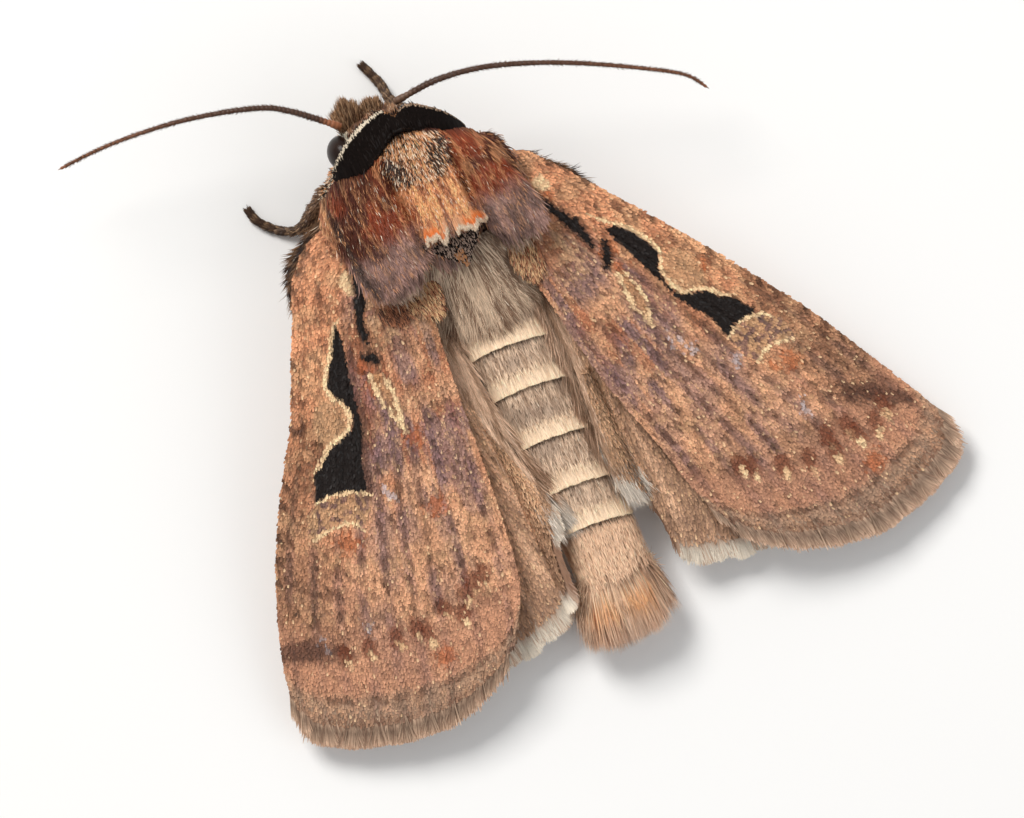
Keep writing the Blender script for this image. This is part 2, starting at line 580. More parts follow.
# %% Where the marks lie
MARKS = {
    "left": {
        "cell": (
            (-4.75, -2.75), (-5.1, -3.1), (-5.42, -3.7), (-5.75, -4.1), (-5.96, -4.5), (-5.93, -4.85),
            (-5.68, -5.2), (-5.6, -5.7), (-5.8, -6.1), (-6.35, -6.28), (-6.85, -6.45), (-7.2, -6.78),
            (-7.6, -6.95), (-7.75, -7.4), (-7.95, -7.8), (-7.3, -7.85), (-6.8, -7.98), (-6.45, -8.15),
            (-6.22, -8.25), (-6.1, -7.8), (-5.95, -7.2), (-5.65, -6.7), (-5.42, -6.1), (-5.3, -5.4),
            (-5.12, -4.6), (-4.98, -3.9), (-4.85, -3.3),
        ),
        "rim": (
            (-4.6, -2.6, 0.03), (-4.95, -2.85, 0.05), (-5.4, -3.6, 0.05), (-5.78, -4.05, 0.05),
            (-6.02, -4.5, 0.05), (-5.95, -4.95, 0.05), (-5.74, -5.2, 0.05), (-5.66, -5.7, 0.06),
            (-5.9, -6.1, 0.06), (-6.4, -6.22, 0.07), (-6.9, -6.4, 0.07), (-7.25, -6.75, 0.05),
            (-7.6, -6.88, 0.02),
        ),
        "ring": (
            (-5.95, -4.95), (-6.45, -4.9), (-6.95, -5.4), (-6.9, -6.2), (-6.4, -6.25), (-5.85, -6.05),
            (-5.65, -5.5),
        ),
        "kidney": (
            (-6.25, -8.3), (-6.9, -7.95), (-7.9, -7.85), (-8.5, -8.3), (-8.6, -8.95), (-7.9, -8.85),
            (-7.2, -8.85), (-6.9, -9.2), (-6.4, -8.9),
        ),
        "kidney_top": (
            (-8.0, -7.86, 0.03), (-7.3, -7.85, 0.05), (-6.7, -8.02, 0.05), (-6.22, -8.32, 0.04),
        ),
        "kidney_low": (
            (-8.6, -8.95, 0.03), (-7.9, -8.85, 0.04), (-7.35, -8.85, 0.06), (-7.0, -9.1, 0.05),
            (-6.85, -9.4, 0.02),
        ),
        "spindle": (
            ((-4.5, -4.75, 0.03), (-4.5, -5.5, 0.08), (-4.42, -6.2, 0.07), (-4.2, -6.95, 0.06)),
            ((-4.1, -4.8, 0.03), (-4.05, -5.5, 0.06), (-4.12, -6.2, 0.05), (-4.2, -6.95, 0.04)),
        ),
        "dash": (
            (-3.38, -1.05, 0.05), (-3.5, -1.45, 0.13), (-3.62, -2.1, 0.15), (-3.85, -2.6, 0.14),
            (-4.05, -3.1, 0.09), (-4.1, -3.6, 0.08), (-4.05, -4.0, 0.03),
        ),
        "pale": ((-3.6, -2.5, 0.15), (-3.35, -3.2, 0.35), (-3.3, -4.0, 0.3)),
        "knot": ((-4.45, -4.05, 0.03), (-4.2, -4.3, 0.12), (-4.05, -4.45, 0.05)),
        "oval": ((-3.62, -1.42), (-3.9, -1.3), (-4.1, -1.65), (-4.02, -2.1), (-3.75, -2.1)),
        "rust": (
            (-4.5, -4.35, 0.4), (-4.55, -5.2, 0.4), (-7.5, -9.5, 0.6), (-4.3, -9.6, 0.5),
            (-4.1, -7.3, 0.4), (-6.3, -14.4, 0.5),
        ),
        "spots": (
            (-9.25, -13.2), (-8.45, -13.35), (-7.45, -13.4), (-6.75, -13.45), (-6.45, -13.7),
            (-5.6, -13.2), (-5.1, -13.6), (-4.75, -13.0), (-4.4, -12.8), (-3.95, -12.75),
        ),
        "flecks": ((-5.5, -8.85, 0.14), (-5.65, -8.6, 0.08), (-9.7, -12.4, 0.12), (-8.2, -12.3, 0.08)),
        "costal_patch": (
            (-11.1, -11.9, 0.2), (-10.4, -12.2, 0.28), (-9.7, -12.5, 0.2), (-9.0, -12.9, 0.1),
        ),
        "arc": ((-10.0, -9.7, 0.04), (-9.65, -10.2, 0.06), (-9.2, -10.7, 0.06), (-8.6, -10.9, 0.04)),
    },
    "right": {
        "cell": (
            (4.8, -3.72), (5.1, -3.85), (5.42, -4.1), (5.78, -4.68), (5.98, -5.15), (5.9, -5.45),
            (5.75, -5.75), (5.82, -6.3), (6.1, -6.85), (6.5, -6.88), (6.9, -7.05), (7.3, -7.48),
            (7.65, -7.62), (7.8, -7.95), (8.15, -8.35), (7.6, -8.42), (7.2, -8.52), (6.86, -8.75),
            (6.72, -8.2), (6.4, -7.6), (6.0, -7.0), (5.68, -6.3), (5.4, -5.6), (5.12, -4.8), (4.9, -4.2),
            (4.72, -3.85),
        ),
        "rim": (
            (4.35, -3.0, 0.03), (4.9, -3.55, 0.05), (5.45, -4.0, 0.05), (5.85, -4.62, 0.05),
            (6.06, -5.12, 0.05), (5.98, -5.4, 0.05), (5.84, -5.65, 0.05), (5.9, -6.3, 0.06),
            (6.2, -6.78, 0.06), (6.6, -6.82, 0.05), (6.95, -6.98, 0.06), (7.35, -7.4, 0.05),
            (7.7, -7.55, 0.02),
        ),
        "ring": (
            (6.0, -5.4), (6.5, -5.2), (7.0, -5.8), (7.1, -6.6), (6.8, -6.9), (6.2, -6.75), (5.85, -6.1),
        ),
        "kidney": (
            (6.85, -8.78), (7.3, -8.52), (8.2, -8.5), (8.8, -9.0), (8.9, -9.75), (8.0, -9.65),
            (7.4, -9.9), (7.0, -9.3),
        ),
        "kidney_top": (
            (6.85, -8.78, 0.04), (7.25, -8.54, 0.05), (7.75, -8.42, 0.05), (8.25, -8.52, 0.04),
            (8.5, -8.75, 0.02),
        ),
        "kidney_low": (
            (7.4, -9.95, 0.03), (7.65, -9.75, 0.05), (8.0, -9.6, 0.06), (8.55, -9.65, 0.05),
            (8.9, -9.8, 0.02),
        ),
        "spindle": (
            ((4.45, -5.2, 0.03), (4.45, -5.9, 0.06), (4.5, -6.5, 0.07), (4.72, -7.3, 0.06)),
            ((4.7, -5.3, 0.03), (4.9, -6.0, 0.06), (4.95, -6.6, 0.06), (4.8, -7.1, 0.05)),
        ),
        "dash": (
            (3.1, -1.75, 0.08), (3.3, -2.2, 0.1), (3.6, -2.75, 0.14), (3.85, -3.2, 0.16),
            (4.02, -3.7, 0.09), (4.08, -4.1, 0.04),
        ),
        "pale": ((3.3, -2.9, 0.2), (3.3, -3.6, 0.4), (3.2, -4.4, 0.45)),
        "knot": ((4.5, -4.15, 0.04), (4.42, -4.55, 0.11), (4.2, -4.95, 0.07)),
        "oval": ((3.15, -1.35), (3.5, -1.2), (3.7, -1.5), (3.6, -1.7), (3.3, -1.65)),
        "rust": (
            (3.35, -1.9, 0.22), (4.45, -4.4, 0.4), (4.65, -5.1, 0.4), (8.3, -10.3, 0.55),
            (7.2, -6.2, 0.3), (9.5, -14.6, 0.5),
        ),
        "spots": (
            (5.75, -13.35), (6.7, -13.75), (7.6, -14.0), (8.45, -13.55), (8.45, -14.0), (9.2, -13.5),
            (9.4, -13.85), (10.1, -13.8), (10.6, -13.35), (5.4, -13.1),
        ),
        "flecks": (
            (5.1, -8.0, 0.1), (5.4, -8.25, 0.13), (5.6, -8.6, 0.1), (8.15, -12.1, 0.09),
            (8.2, -11.7, 0.06), (6.8, -9.6, 0.12),
        ),
        "costal_patch": (
            (11.4, -13.2, 0.14), (10.9, -12.8, 0.26), (10.4, -12.4, 0.24), (9.6, -12.1, 0.16),
        ),
        "arc": (
            (9.9, -9.7, 0.04), (9.6, -10.4, 0.07), (9.95, -11.3, 0.05), (9.4, -11.8, 0.06),
            (8.8, -12.0, 0.04),
        ),
    },
}
RUST = colour(216, 150, 110)
MAUVE = colour(134, 106, 102)
TAN = colour(208, 156, 120)
RUSSET = colour(166, 106, 76)
UMBER = colour(96, 62, 46)
INK = colour(27, 19, 16)
CREAM = colour(255, 216, 168)
EMBER = colour(186, 98, 52)
SANDY = colour(212, 166, 124)
DRY_CLAY = colour(190, 136, 108)
EDGE_GREY = colour(170, 138, 114)
WEDGE_BROWN = colour(118, 62, 40)
FLECK_GREY = colour(206, 192, 192)
WING_REACH = 15.0
COSTAL_DASHES = (0.13, 0.165, 0.205, 0.34, 0.46, 0.565, 0.6, 0.665, 0.705, 0.745)
CROSS_LINES = ((0.6, 0.3), (0.645, 0.55), (0.19, 0.3), (0.215, 0.3))

# %% [markdown]
# The ground comes first: rust, mauve streaks on the veins, mottling along the wing and small dark
# dashes.

# %% Ground of the forewing
def forewing_ground(wing, place, u, v):
    nearest = wing.off_vein(u, v)
    streak = grain(u * 42.0, v * 7.0, 5)
    blotch = noise(place, 0.7, 6)
    drawn_out = np.column_stack([u * wing.width(v) * 1.7, v * WING_REACH * 0.75])
    fleck = noise(drawn_out, 0.1, 18)
    dusty = noise(place * (1.0, 0.45), 0.55, 17)
    dust = step(0.4, 0.62, 0.65 * dusty + 0.35 * streak) * step(0.85, 0.6, u)
    on_veins = np.exp(-((nearest / 0.14) ** 2)) * step(0.15, 0.35, v) * step(0.12, 0.5, dusty)
    front = step(0.6, 0.74, u + 0.1 * (streak - 0.5)) * (1.0 - 0.75 * step(0.45, 0.75, v))
    root = step(0.3, 0.12, v) * step(0.62, 0.5, u)
    dash = step(0.05, 0.02, nearest) * step(0.35, 0.6, grain(v * 60.0, u * 9.0, 13))
    tone = layered(
        blend(RUSSET, TAN, step(0.3, 0.7, 0.6 * blotch + 0.4 * streak)),
        (TAN * (1.16, 1.17, 1.18), 0.75 * step(0.42, 0.65, v)),
        (MAUVE, 0.75 * dust * (1.0 - 0.55 * step(0.5, 0.66, v))),
        (MAUVE * (0.86, 0.84, 1.04), 0.52 * on_veins),
        (RUST, front),
        (SANDY, 0.5 * front * step(0.5, 0.75, blotch)),
        (RUSSET, 0.65 * front * step(0.6, 0.8, noise(place, 0.3, 12))),
        (UMBER * 0.8, 0.5 * step(0.66, 0.8, noise(drawn_out, 0.17, 8))),
        (UMBER * 0.7, 0.5 * step(0.7, 0.85, fleck)),
        (SANDY, 0.45 * step(0.3, 0.15, fleck)),
        (blend(SANDY * 0.85, RUSSET, step(0.4, 0.6, blotch)), 0.6 * root),
        (UMBER * 0.7, 0.55 * dash * step(0.3, 0.5, v)),
    )
    right = place[:, 0] > 0.0
    start = np.where(right, 0.48, 0.36)
    dim = 1.0 - 0.34 * step(0.72, 0.85, u) * step(0.0, 0.1, v - start) * step(0.88, 0.82, v)
    dim = dim - 0.17 * right * step(0.7, 0.8, v) * step(0.8, 0.7, u)
    return tone * (dim * (0.96 + 0.38 * noise(place, 0.45, 7)))[:, None]


# %% [markdown]
# The lines that cross the wing are doubled, scalloped and faint, and dark where they meet the front
# edge. Beyond them lie a clay band and the greyer rim.

# %% Lines across the forewing
def forewing_lines(tone, wing, place, u, v):
    nearest = wing.off_vein(u, v)
    scallop = 0.014 * np.cos(u * 2.0 * np.pi * 9.0) + 0.05 * np.sin(u * np.pi)
    scallop = scallop + 0.012 * (noise(place, 0.3, 14) - 0.5)
    for middle, depth in CROSS_LINES:
        line = step(0.008, 0.002, np.abs(v - middle - scallop))
        tone = blend(tone, UMBER, depth * line * (0.45 + 0.55 * step(0.12, 0.04, nearest)))
    tone = blend(tone, SANDY, 0.3 * step(0.014, 0.004, np.abs(v - 0.622 - scallop)))
    for middle in COSTAL_DASHES:
        dash = step(0.93, 0.965, u) * step(0.012, 0.004, np.abs(v - middle))
        tone = blend(tone, UMBER * 0.6, 0.75 * dash)
    bent = v + 0.45 * scallop
    shadow = step(0.74, 0.8, bent) * step(0.85, 0.82, bent) * step(0.4, 0.65, noise(place, 0.4, 15))
    rim = step(0.905, 0.93, v + 0.2 * scallop) * (0.6 + 0.6 * noise(place, 0.12, 20))
    dots = step(0.4, 0.6, grain(u * 90.0, v * 30.0, 19))
    return layered(
        tone,
        (DRY_CLAY, 0.6 * step(0.79, 0.83, bent) * step(0.93, 0.9, v)),
        (UMBER * (1.0, 0.95, 1.1), 0.35 * shadow),
        (EDGE_GREY, 0.75 * rim),
        (UMBER, 0.6 * dots * step(0.905, 0.915, v) * step(0.928, 0.92, v)),
        (UMBER, 0.4 * step(0.935, 0.955, v) * step(0.972, 0.962, v) * (0.5 + dots)),
    )


# %% [markdown]
# Last come the single marks, from the soft ones to the black cell and the cream lines.

# %% Marks of the forewing
def forewing_tone(wing, spots, u, v):
    """The colour at points of a forewing, given in the drawing and in the wing's own u and v."""
    marks = MARKS[wing.side]
    place = spots[:, :2]
    ragged = (noise(place, 0.09, 3) - 0.5) * 0.16 + (noise(place, 0.3, 4) - 0.5) * 0.1

    def off(spot, stretch=(1.0, 1.0)):
        return np.linalg.norm((place - spot) * stretch, axis=1)

    def stroke(route, rough):
        return stroke_distance(place, route) + rough * ragged

    def shape(outline, rough=0.5):
        return shape_distance(place, outline) + rough * ragged

    tone = forewing_lines(forewing_ground(wing, place, u, v), wing, place, u, v)
    for x, y, size in marks["rust"]:
        tone = blend(tone, EMBER, 0.62 * step(size, 0.3 * size, off((x, y)) + 3.0 * ragged))
    tone = layered(
        tone,
        (UMBER * (0.8, 0.8, 0.95), 0.8 * step(0.3, -0.09, stroke(marks["costal_patch"], 1.5))),
        (UMBER, 0.6 * step(0.12, -0.036, stroke(marks["arc"], 1.5))),
    )
    for index, spot in enumerate(marks["spots"]):
        wedge = np.linalg.norm((place - spot) * (1.0, 0.6) - (0.0, 0.2), axis=1) + ragged
        core = CREAM + (SANDY - CREAM) * (0.15 + 0.3 * (index % 3))
        tone = layered(
            tone,
            (WEDGE_BROWN, 0.75 * step(0.34, 0.16, wedge)),
            (core, 0.95 * step(0.19, 0.07, off(spot, (1.3, 0.75)) + 1.3 * ragged)),
        )
    for x, y, size in marks["flecks"]:
        away = off((x, y), (1.0, 0.6)) + 2.2 * ragged
        tone = blend(tone, FLECK_GREY, 0.6 * step(1.5 * size, 0.2 * size, away))
    front, back = (np.array(route)[:, :2] for route in marks["spindle"])
    filling = shape(np.vstack([front, back[::-1]]), 0.6)
    tone = blend(tone, SANDY * (0.95, 0.85, 0.75), 0.75 * step(0.03, -0.08, filling))
    for route in marks["spindle"]:
        away = stroke(route, 0.9)
        shade, cream = 0.45 * step(0.1, 0.05, away), 0.9 * step(0.04, -0.02, away)
        tone = layered(tone, (UMBER, shade), (CREAM, cream))
    pale = noise(place, 0.16, 71)
    smear = step(0.25, -0.2, stroke(marks["pale"], 3.0))
    tone = layered(
        tone,
        (SANDY * (0.98, 1.0, 1.05), 0.7 * smear * step(0.35, 0.6, pale)),
        (UMBER, 0.35 * smear * step(0.38, 0.25, pale)),
        (CREAM * 0.94, 0.9 * step(0.06, -0.04, shape(marks["oval"], 0.6))),
    )
    for name in ("dash", "knot"):
        away = stroke(marks[name], 0.8)
        tone = layered(tone, (UMBER * 0.7, 0.7 * step(0.16, 0.05, away)), (INK, step(0.05, -0.01, away)))
    cell = shape(marks["cell"])
    kidney = blend(SANDY * 0.9, MAUVE * 0.7, step(0.45, 0.7, noise(place, 0.13, 16)))
    tone = layered(
        tone,
        (SANDY * 0.84, 0.7 * step(0.05, -0.12, shape(marks["ring"]))),
        (kidney, 0.75 * step(0.05, -0.1, shape(marks["kidney"]))),
        (UMBER * (0.72, 0.7, 0.92), 0.8 * step(0.46, 0.04, cell) * step(0.72, 0.6, u)),
        (INK, step(0.03, -0.03, cell)),
    )
    for name in ("rim", "kidney_top", "kidney_low"):
        tone = blend(tone, CREAM, 0.95 * step(0.035, -0.015, stroke(marks[name], 0.3)))
    return tone


# %% [markdown]
# ## Wing skins
# Under its scales a wing is a thin membrane. A grid in u and v is raised by one extrusion into a
# closed sheet, and every point is then laid on the wing's surface. It carries the same markings as
# the scales, so nothing shows between them.

# %% Build the membranes
SKIN_TOP = 0.14
SKIN_BOTTOM = 0.04
SKIN_END = 0.965


def raised_grid(across, lengthwise):
    """A closed sheet whose points lie at (u, v, w), each from 0 to 1, with w 0 below and 1 above."""
    shape = bmesh.new()
    bmesh.ops.create_grid(shape, x_segments=across, y_segments=lengthwise, size=0.5)
    bmesh.ops.translate(shape, verts=shape.verts, vec=(0.5, 0.5, 0.0))
    raised = bmesh.ops.extrude_face_region(shape, geom=list(shape.faces), use_keep_orig=True)
    top = [part for part in raised["geom"] if isinstance(part, bmesh.types.BMVert)]
    bmesh.ops.translate(shape, verts=top, vec=(0.0, 0.0, 1.0))
    return shape


def wing_map(u, v):
    """The upper side's place in the map. The lower side lies half a map further on."""
    return 0.01 + 0.48 * u, 0.01 + 0.98 * v


def wing_membrane(wing, size, toner):
    shape = raised_grid(*size)
    bmesh.ops.recalc_face_normals(shape, faces=shape.faces)
    layer = shape.loops.layers.uv.new(MAP_NAME)
    for face in shape.faces:
        below = 0.5 if face.calc_center_median().z < 0.5 else 0.0
        for loop in face.loops:
            across, lengthwise = wing_map(loop.vert.co.x, loop.vert.co.y)
            loop[layer].uv = (across + below, lengthwise)
    mesh = mesh_from(f"{wing.kind}_skin_{wing.side}", shape, wing_skin)
    u, v, w = read_rows(mesh.vertices, "co").T.astype(float)
    v = v * SKIN_END
    spots = wing.surface(u, v)
    tones = toner(wing, spots, u, v)
    spots[:, 2] += SKIN_BOTTOM + (SKIN_TOP - SKIN_BOTTOM) * w
    place_points(mesh, spots)
    mesh.update()
    mesh.shade_smooth()
    paint(mesh, np.where(w[:, None] < 0.5, 0.75 * tones + 0.25 * TAN, tones * 0.8))
    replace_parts(place_piece(mesh.name, mesh, wing.slot), wing.name)


for wing in FOREWINGS:
    wing_membrane(wing, (90, 130), forewing_tone)

# %% [markdown]
# ## Wing scales
# The scales lie in rows like roof tiles, with their toothed ends to the outer edge. Each has a
# narrow root, two shoulders and a three-pointed tip. Small random turns and tilts make single
# scales catch the light, as the real ones do.

# %% Lay scales on a wing
SCALE_CORNERS = ((0, 2, 1), (1, 2, 5), (1, 5, 3), (2, 4, 5))
SCALE_SHADES = (0.62, 0.85, 0.85, 1.1, 1.1, 1.16)
SCALE_MAP = ((0, -1), (-1, 0), (1, 0), (-1, 1), (1, 1), (0, 1))


def scale_rows(wing, row_gap, column_gap, v_start, seed, v_end=0.962):
    """Places for scales, as u and v: rows from root to edge, each as full as the wing is wide there."""
    rng = np.random.default_rng(seed)
    stops = np.linspace(v_start, v_end, 200)
    line = wing.plan(np.full(len(stops), 0.5), stops)
    length = np.linalg.norm(np.diff(line, axis=0), axis=1).sum()
    rows = np.linspace(v_start, v_end, int(length / row_gap))
    spots = []
    for index, (row, width) in enumerate(zip(rows, wing.width(rows))):
        count = max(int(width / column_gap), 2)
        across = (np.arange(count) + 0.5 * (index % 2) + 0.25) / count
        spots.append(np.column_stack([across, np.full(count, row)]))
    spots = np.vstack(spots)
    spots[:, 0] += rng.normal(0.0, 0.35, len(spots)) * column_gap / wing.width(spots[:, 1])
    spots[:, 1] += rng.normal(0.0, 0.3, len(spots)) * row_gap / length
    return np.clip(spots, 0.0, 1.0).T


def lay_scales(wing, spots, toner, length, width, seed, tilt=0.2):
    rng = np.random.default_rng(seed)
    u, v = spots
    count = len(u)
    root = wing.surface(u, v)
    way = unit(wing.surface(u, np.clip(v + 0.01, 0, 1)) - wing.surface(u, v - 0.01))
    beside = unit(wing.surface(u + 0.01, v) - wing.surface(u - 0.01, v))
    up = unit(np.cross(beside, way))
    up = up * np.sign(up[:, 2:3])
    way = unit(way + beside * rng.normal(0.0, 0.16, count)[:, None])
    beside = unit(np.cross(way, up))
    beside = unit(beside + up * rng.normal(0.0, tilt, count)[:, None])
    long = length * rng.uniform(0.8, 1.2, count)[:, None]
    half = beside * (0.5 * width * rng.uniform(0.8, 1.15, count)[:, None])
    rise = up * long * np.clip(rng.normal(0.16, 0.07, count), 0.04, 0.4)[:, None]
    base = root + up * (SKIN_TOP - 0.01)
    shoulder = base + way * long * 0.4 + rise * 0.55
    end = base + way * long * 0.9 + rise
    tip = base + way * long + rise * 1.02
    points = np.stack(
        [base, shoulder + half, shoulder - half, end + half * 0.85, end - half * 0.85, tip], axis=1
    )
    start = (np.arange(count) * len(SCALE_MAP))[:, None, None]
    faces = (start + np.array(SCALE_CORNERS)[None]).reshape(-1, 3)
    tone = toner(wing, tip, u, v)
    luck = rng.random(count)
    tone = tone * rng.uniform(0.8, 1.2, count)[:, None]
    lively = tone.mean(axis=1) >= 0.05
    tone = np.where(((luck > 0.984) & lively)[:, None], tone * 0.4 + 0.6 * CREAM, tone)
    tone = np.where(((luck < 0.1) & lively)[:, None], tone * 0.6, tone)
    tones = (tone[:, None, :] * np.array(SCALE_SHADES)[None, :, None]).reshape(-1, 3)
    place = np.clip(np.column_stack(wing_map(u, v)), 0.005, 0.995)
    uvs = (place[:, None, :] + np.array(SCALE_MAP)[None] * PATCH).reshape(-1, 2)
    name = f"{wing.kind}_coat_{wing.side}"
    write_piece(name, points.reshape(-1, 3), faces, tones, uvs, wing_scales, wing.slot)


for wing in FOREWINGS:
    lay_scales(wing, scale_rows(wing, 0.057, 0.052, 0.01, 11), forewing_tone, 0.16, 0.075, 12)

# %% [markdown]
# ## Fringes
# A moth's wings end in a fringe of long hair-scales. On the forewing it is short and brown, dark at
# its root with a pale line, and its scales gather in small teeth. On the hindwing it is longer and
# cream white, but short and brown next to the body.

# %% Lay a fringe
FRINGE_STEPS = np.array((0.0, 0.3, 0.55, 0.85, 1.0))
FRINGE_SHAPE = (0.6, 1.0, 1.0, 1.0, 0.3)
FLOOR_GAP = 0.06
UP = np.array((0.0, 0.0, 1.0))
TEETH = 38.0
PALE_LINES = np.array((0.7, 1.15, 0.65, 1.15, 1.8))
PALE_HAIR = colour(200, 168, 142)


def lay_fringe(wing, count, start, reach, width, toner, seed):
    """Ribbons past the outer edge. reach(u) is how far past it they end, toner(u, rng) their colour."""
    rng = np.random.default_rng(seed)
    u = np.sort(rng.uniform(0.002, 0.998, count))
    v = start + rng.uniform(-0.012, 0.012, count)
    root = wing.surface(u, v)
    edge = wing.surface(u, np.ones(count))
    beside = wing.beside(u, v)
    outward = unit(unit(edge - root) + beside * rng.normal(0.0, 0.14, count)[:, None])
    span = np.linalg.norm(edge - root, axis=1) + reach(u) * rng.uniform(0.8, 1.05, count)
    lift = 0.1 + rng.uniform(-0.05, 0.06, count)
    path = root[:, None, :] + outward[:, None, :] * (span[:, None] * FRINGE_STEPS)[:, :, None]
    bend = FRINGE_STEPS**2
    path[:, :, 2] += lift[:, None] * (1.0 - bend * 0.6) - 0.05 * span[:, None] * bend
    path[:, :, 2] = np.maximum(path[:, :, 2], FLOOR_GAP + rng.uniform(0.0, 0.04, count)[:, None])
    tones = toner(u, rng)
    wide = width * rng.uniform(0.7, 1.3, count)
    roots = np.column_stack([wing_map(u, 0.0)[0], np.full(count, 0.97)])
    vanes(
        f"{wing.kind}_fringe_{wing.side}", path, unit(np.cross(outward, UP)), wide, FRINGE_SHAPE, tones,
        roots, silky_hair, wing.slot,
    )


def brown_fringe(u, rng):
    tuft = 0.75 + 0.46 * lines(u * 90.0, 21)
    base = blend(UMBER * 1.2, PALE_HAIR, rng.uniform(0.35, 1.0, len(u))) * tuft[:, None]
    return base[:, None, :] * PALE_LINES[None, :, None]


def brown_reach(u):
    return 0.02 + 0.16 * np.abs(np.sin(u * np.pi * TEETH)) ** 0.6 + 0.12 * lines(u * 50.0, 23)


for wing in FOREWINGS:
    lay_fringe(wing, 7000, 0.945, brown_reach, 0.037, brown_fringe, 31)

# %% [markdown]
# ## Hindwings
# The hindwings are plain: a silky tan brown, darker between the folds, with fine cross lines. Most
# of each lies hidden under the forewing, but it is covered whole, because the moth is seen from all
# sides. The forewing's inner edge throws a soft shade on the right one.

# %% Hindwing colours and coat
WHEAT = colour(222, 178, 146)
BARK = colour(156, 118, 94)
GOLD = colour(214, 170, 130)
SILVER = colour(214, 202, 188)
IVORY = colour(240, 226, 206)
PALE_STEPS = np.array((0.5, 0.6, 0.85, 1.0, 1.1))
WING_SHADE = (
    (2.35, -7.2, 0.06), (2.95, -9.2, 0.14), (3.35, -11.0, 0.2), (3.75, -12.6, 0.2), (4.2, -13.8, 0.1),
)


def hindwing_tone(wing, spots, u, v):
    place = spots[:, :2]
    x = place[:, 0]
    ribs = 0.5 + 0.5 * np.sin(u * wing.width(v) * 42.0 + 2.0 * noise(place, 0.8, 47))
    tone = layered(
        blend(WHEAT, BARK, 0.6 * step(0.3, 0.8, grain(u * 26.0, v * 2.5, 41))),
        (GOLD, 0.6 * step(0.22, 0.05, u) * step(0.4, 0.7, v)),
        (BARK * 0.8, 0.5 * step(0.1, 0.02, wing.off_vein(u, v))),
        (GOLD * 1.1, 0.4 * ribs * step(0.3, 0.6, v)),
        (BARK * 0.7, 0.35 * step(0.35, 0.1, ribs)),
    )
    lit = 1.06 + 0.12 * step(0.5, -0.5, x) - 0.26 * step(5.0, 7.0, x)
    return layered(
        tone * ((0.85 + 0.3 * noise(place, 0.4, 42)) * lit)[:, None],
        (BARK * 0.35, 0.75 * step(0.12, -0.1, stroke_distance(place, WING_SHADE))),
        (BARK * 0.8, 0.45 * step(0.85, 0.93, v)),
    )


def pale_fringe(u, rng):
    clump = lines(u * 110.0, 48) + rng.uniform(-0.2, 0.2, len(u))
    base = blend(IVORY, WHEAT * 0.8, 0.8 * step(0.6, 0.9, clump))
    plain = step(0.1, 0.14, u) * step(0.3, 0.25, u)
    base = blend(base, BARK, plain) * rng.uniform(0.8, 1.1, len(u))[:, None]
    tones = base[:, None, :] * PALE_STEPS[None, :, None]
    tones[:, 0, :] = BARK
    tones[:, 1, :] = 0.5 * (BARK + base)
    return tones


def pale_reach(u):
    ragged = 0.12 + 0.28 * lines(u * 60.0, 49) ** 2
    return 0.03 + 0.12 * step(0.1, 0.06, u) + ragged * step(0.2, 0.32, u)


for wing in HINDWINGS:
    wing_membrane(wing, (80, 110), hindwing_tone)
    lay_scales(wing, scale_rows(wing, 0.075, 0.06, 0.05, 43), hindwing_tone, 0.2, 0.062, 44)
    lay_fringe(wing, 5200, 0.955, pale_reach, 0.034, pale_fringe, 45)

# %% [markdown]
# ## Body skin
# One skin carries the whole coat of the body: thorax, shoulder pads, collar, head, abdomen and the
# core of the tail tuft. Each is a ball or a sheet reshaped by bmesh, they are joined, and a voxel
# remesh melts them into one closed surface with no seam. It lies inside the solids by the depth of
# the coat.

# %% Heights that the coat follows
RIDGE_X = 0.05
COLLAR_X = -0.5
COLLAR_HALF = 2.5
COLLAR_BASE = 3.6
COLLAR_RIM = spline((
    (-2.99, 1.4), (-2.9, 1.62), (-2.52, 2.06), (-1.89, 2.54), (-1.18, 2.88), (-0.45, 3.02), (-0.2, 2.9),
    (-0.02, 2.68), (0.2, 2.8), (0.61, 2.84), (1.23, 2.41), (1.68, 1.95), (1.95, 1.5), (1.98, 1.35),
))


def coat_top(x, y):
    """The height of the thorax with its coat over points of the drawing."""
    fall = 1.0 + 0.24 * np.minimum(y, 0.0)
    return 5.9 - 0.12 * (y + 0.3) ** 2 - fall * np.abs((x - RIDGE_X) / 3.4) ** 2.4


def collar_rear(x):
    height = 1.0 - np.clip(np.abs(x - COLLAR_X) / COLLAR_HALF, 0.0, 1.0) ** 2
    return 1.4 + 0.2 * height + 0.65 * step(0.0, 1.0, 1.0 - np.abs(x + 0.1) / 1.6)


def collar_rim(x):
    return np.interp(x, COLLAR_RIM[:, 0], COLLAR_RIM[:, 1])


def collar_bow(v):
    """How high the collar's arch stands, at a share v from its rear edge to its rim."""
    return 1.95 - 0.25 * v


def collar_height(x, v):
    bend = np.sqrt(np.clip(1.0 - ((x - COLLAR_X) / COLLAR_HALF) ** 2, 0.0, 1.0))
    return COLLAR_BASE + collar_bow(v) * bend


# %% [markdown]
# Each ball is given by its middle, its half size and how square its outline is. The pads lie under
# the height of the coat, and the abdomen follows its own section.

# %% Forms of the body
BODY_VOXEL = 0.085
PADS = ((0.05, -0.2, 1.15, 1.75), (-2.2, -0.85, 1.0, 1.85), (2.1, -0.85, 0.9, 1.85))


def ball(place):
    """A ball whose points go to place(forward, side, up), with forward from -1 to 1 along the body."""
    shape = bmesh.new()
    bmesh.ops.create_uvsphere(shape, u_segments=40, v_segments=30, radius=1.0)
    for vertex in shape.verts:
        x, z, forward = vertex.co
        ring = math.hypot(x, z)
        side, up = (x / ring, z / ring) if ring > 1e-6 else (0.0, 0.0)
        vertex.co = place(max(-1.0, min(1.0, forward)), side, up)
    return shape


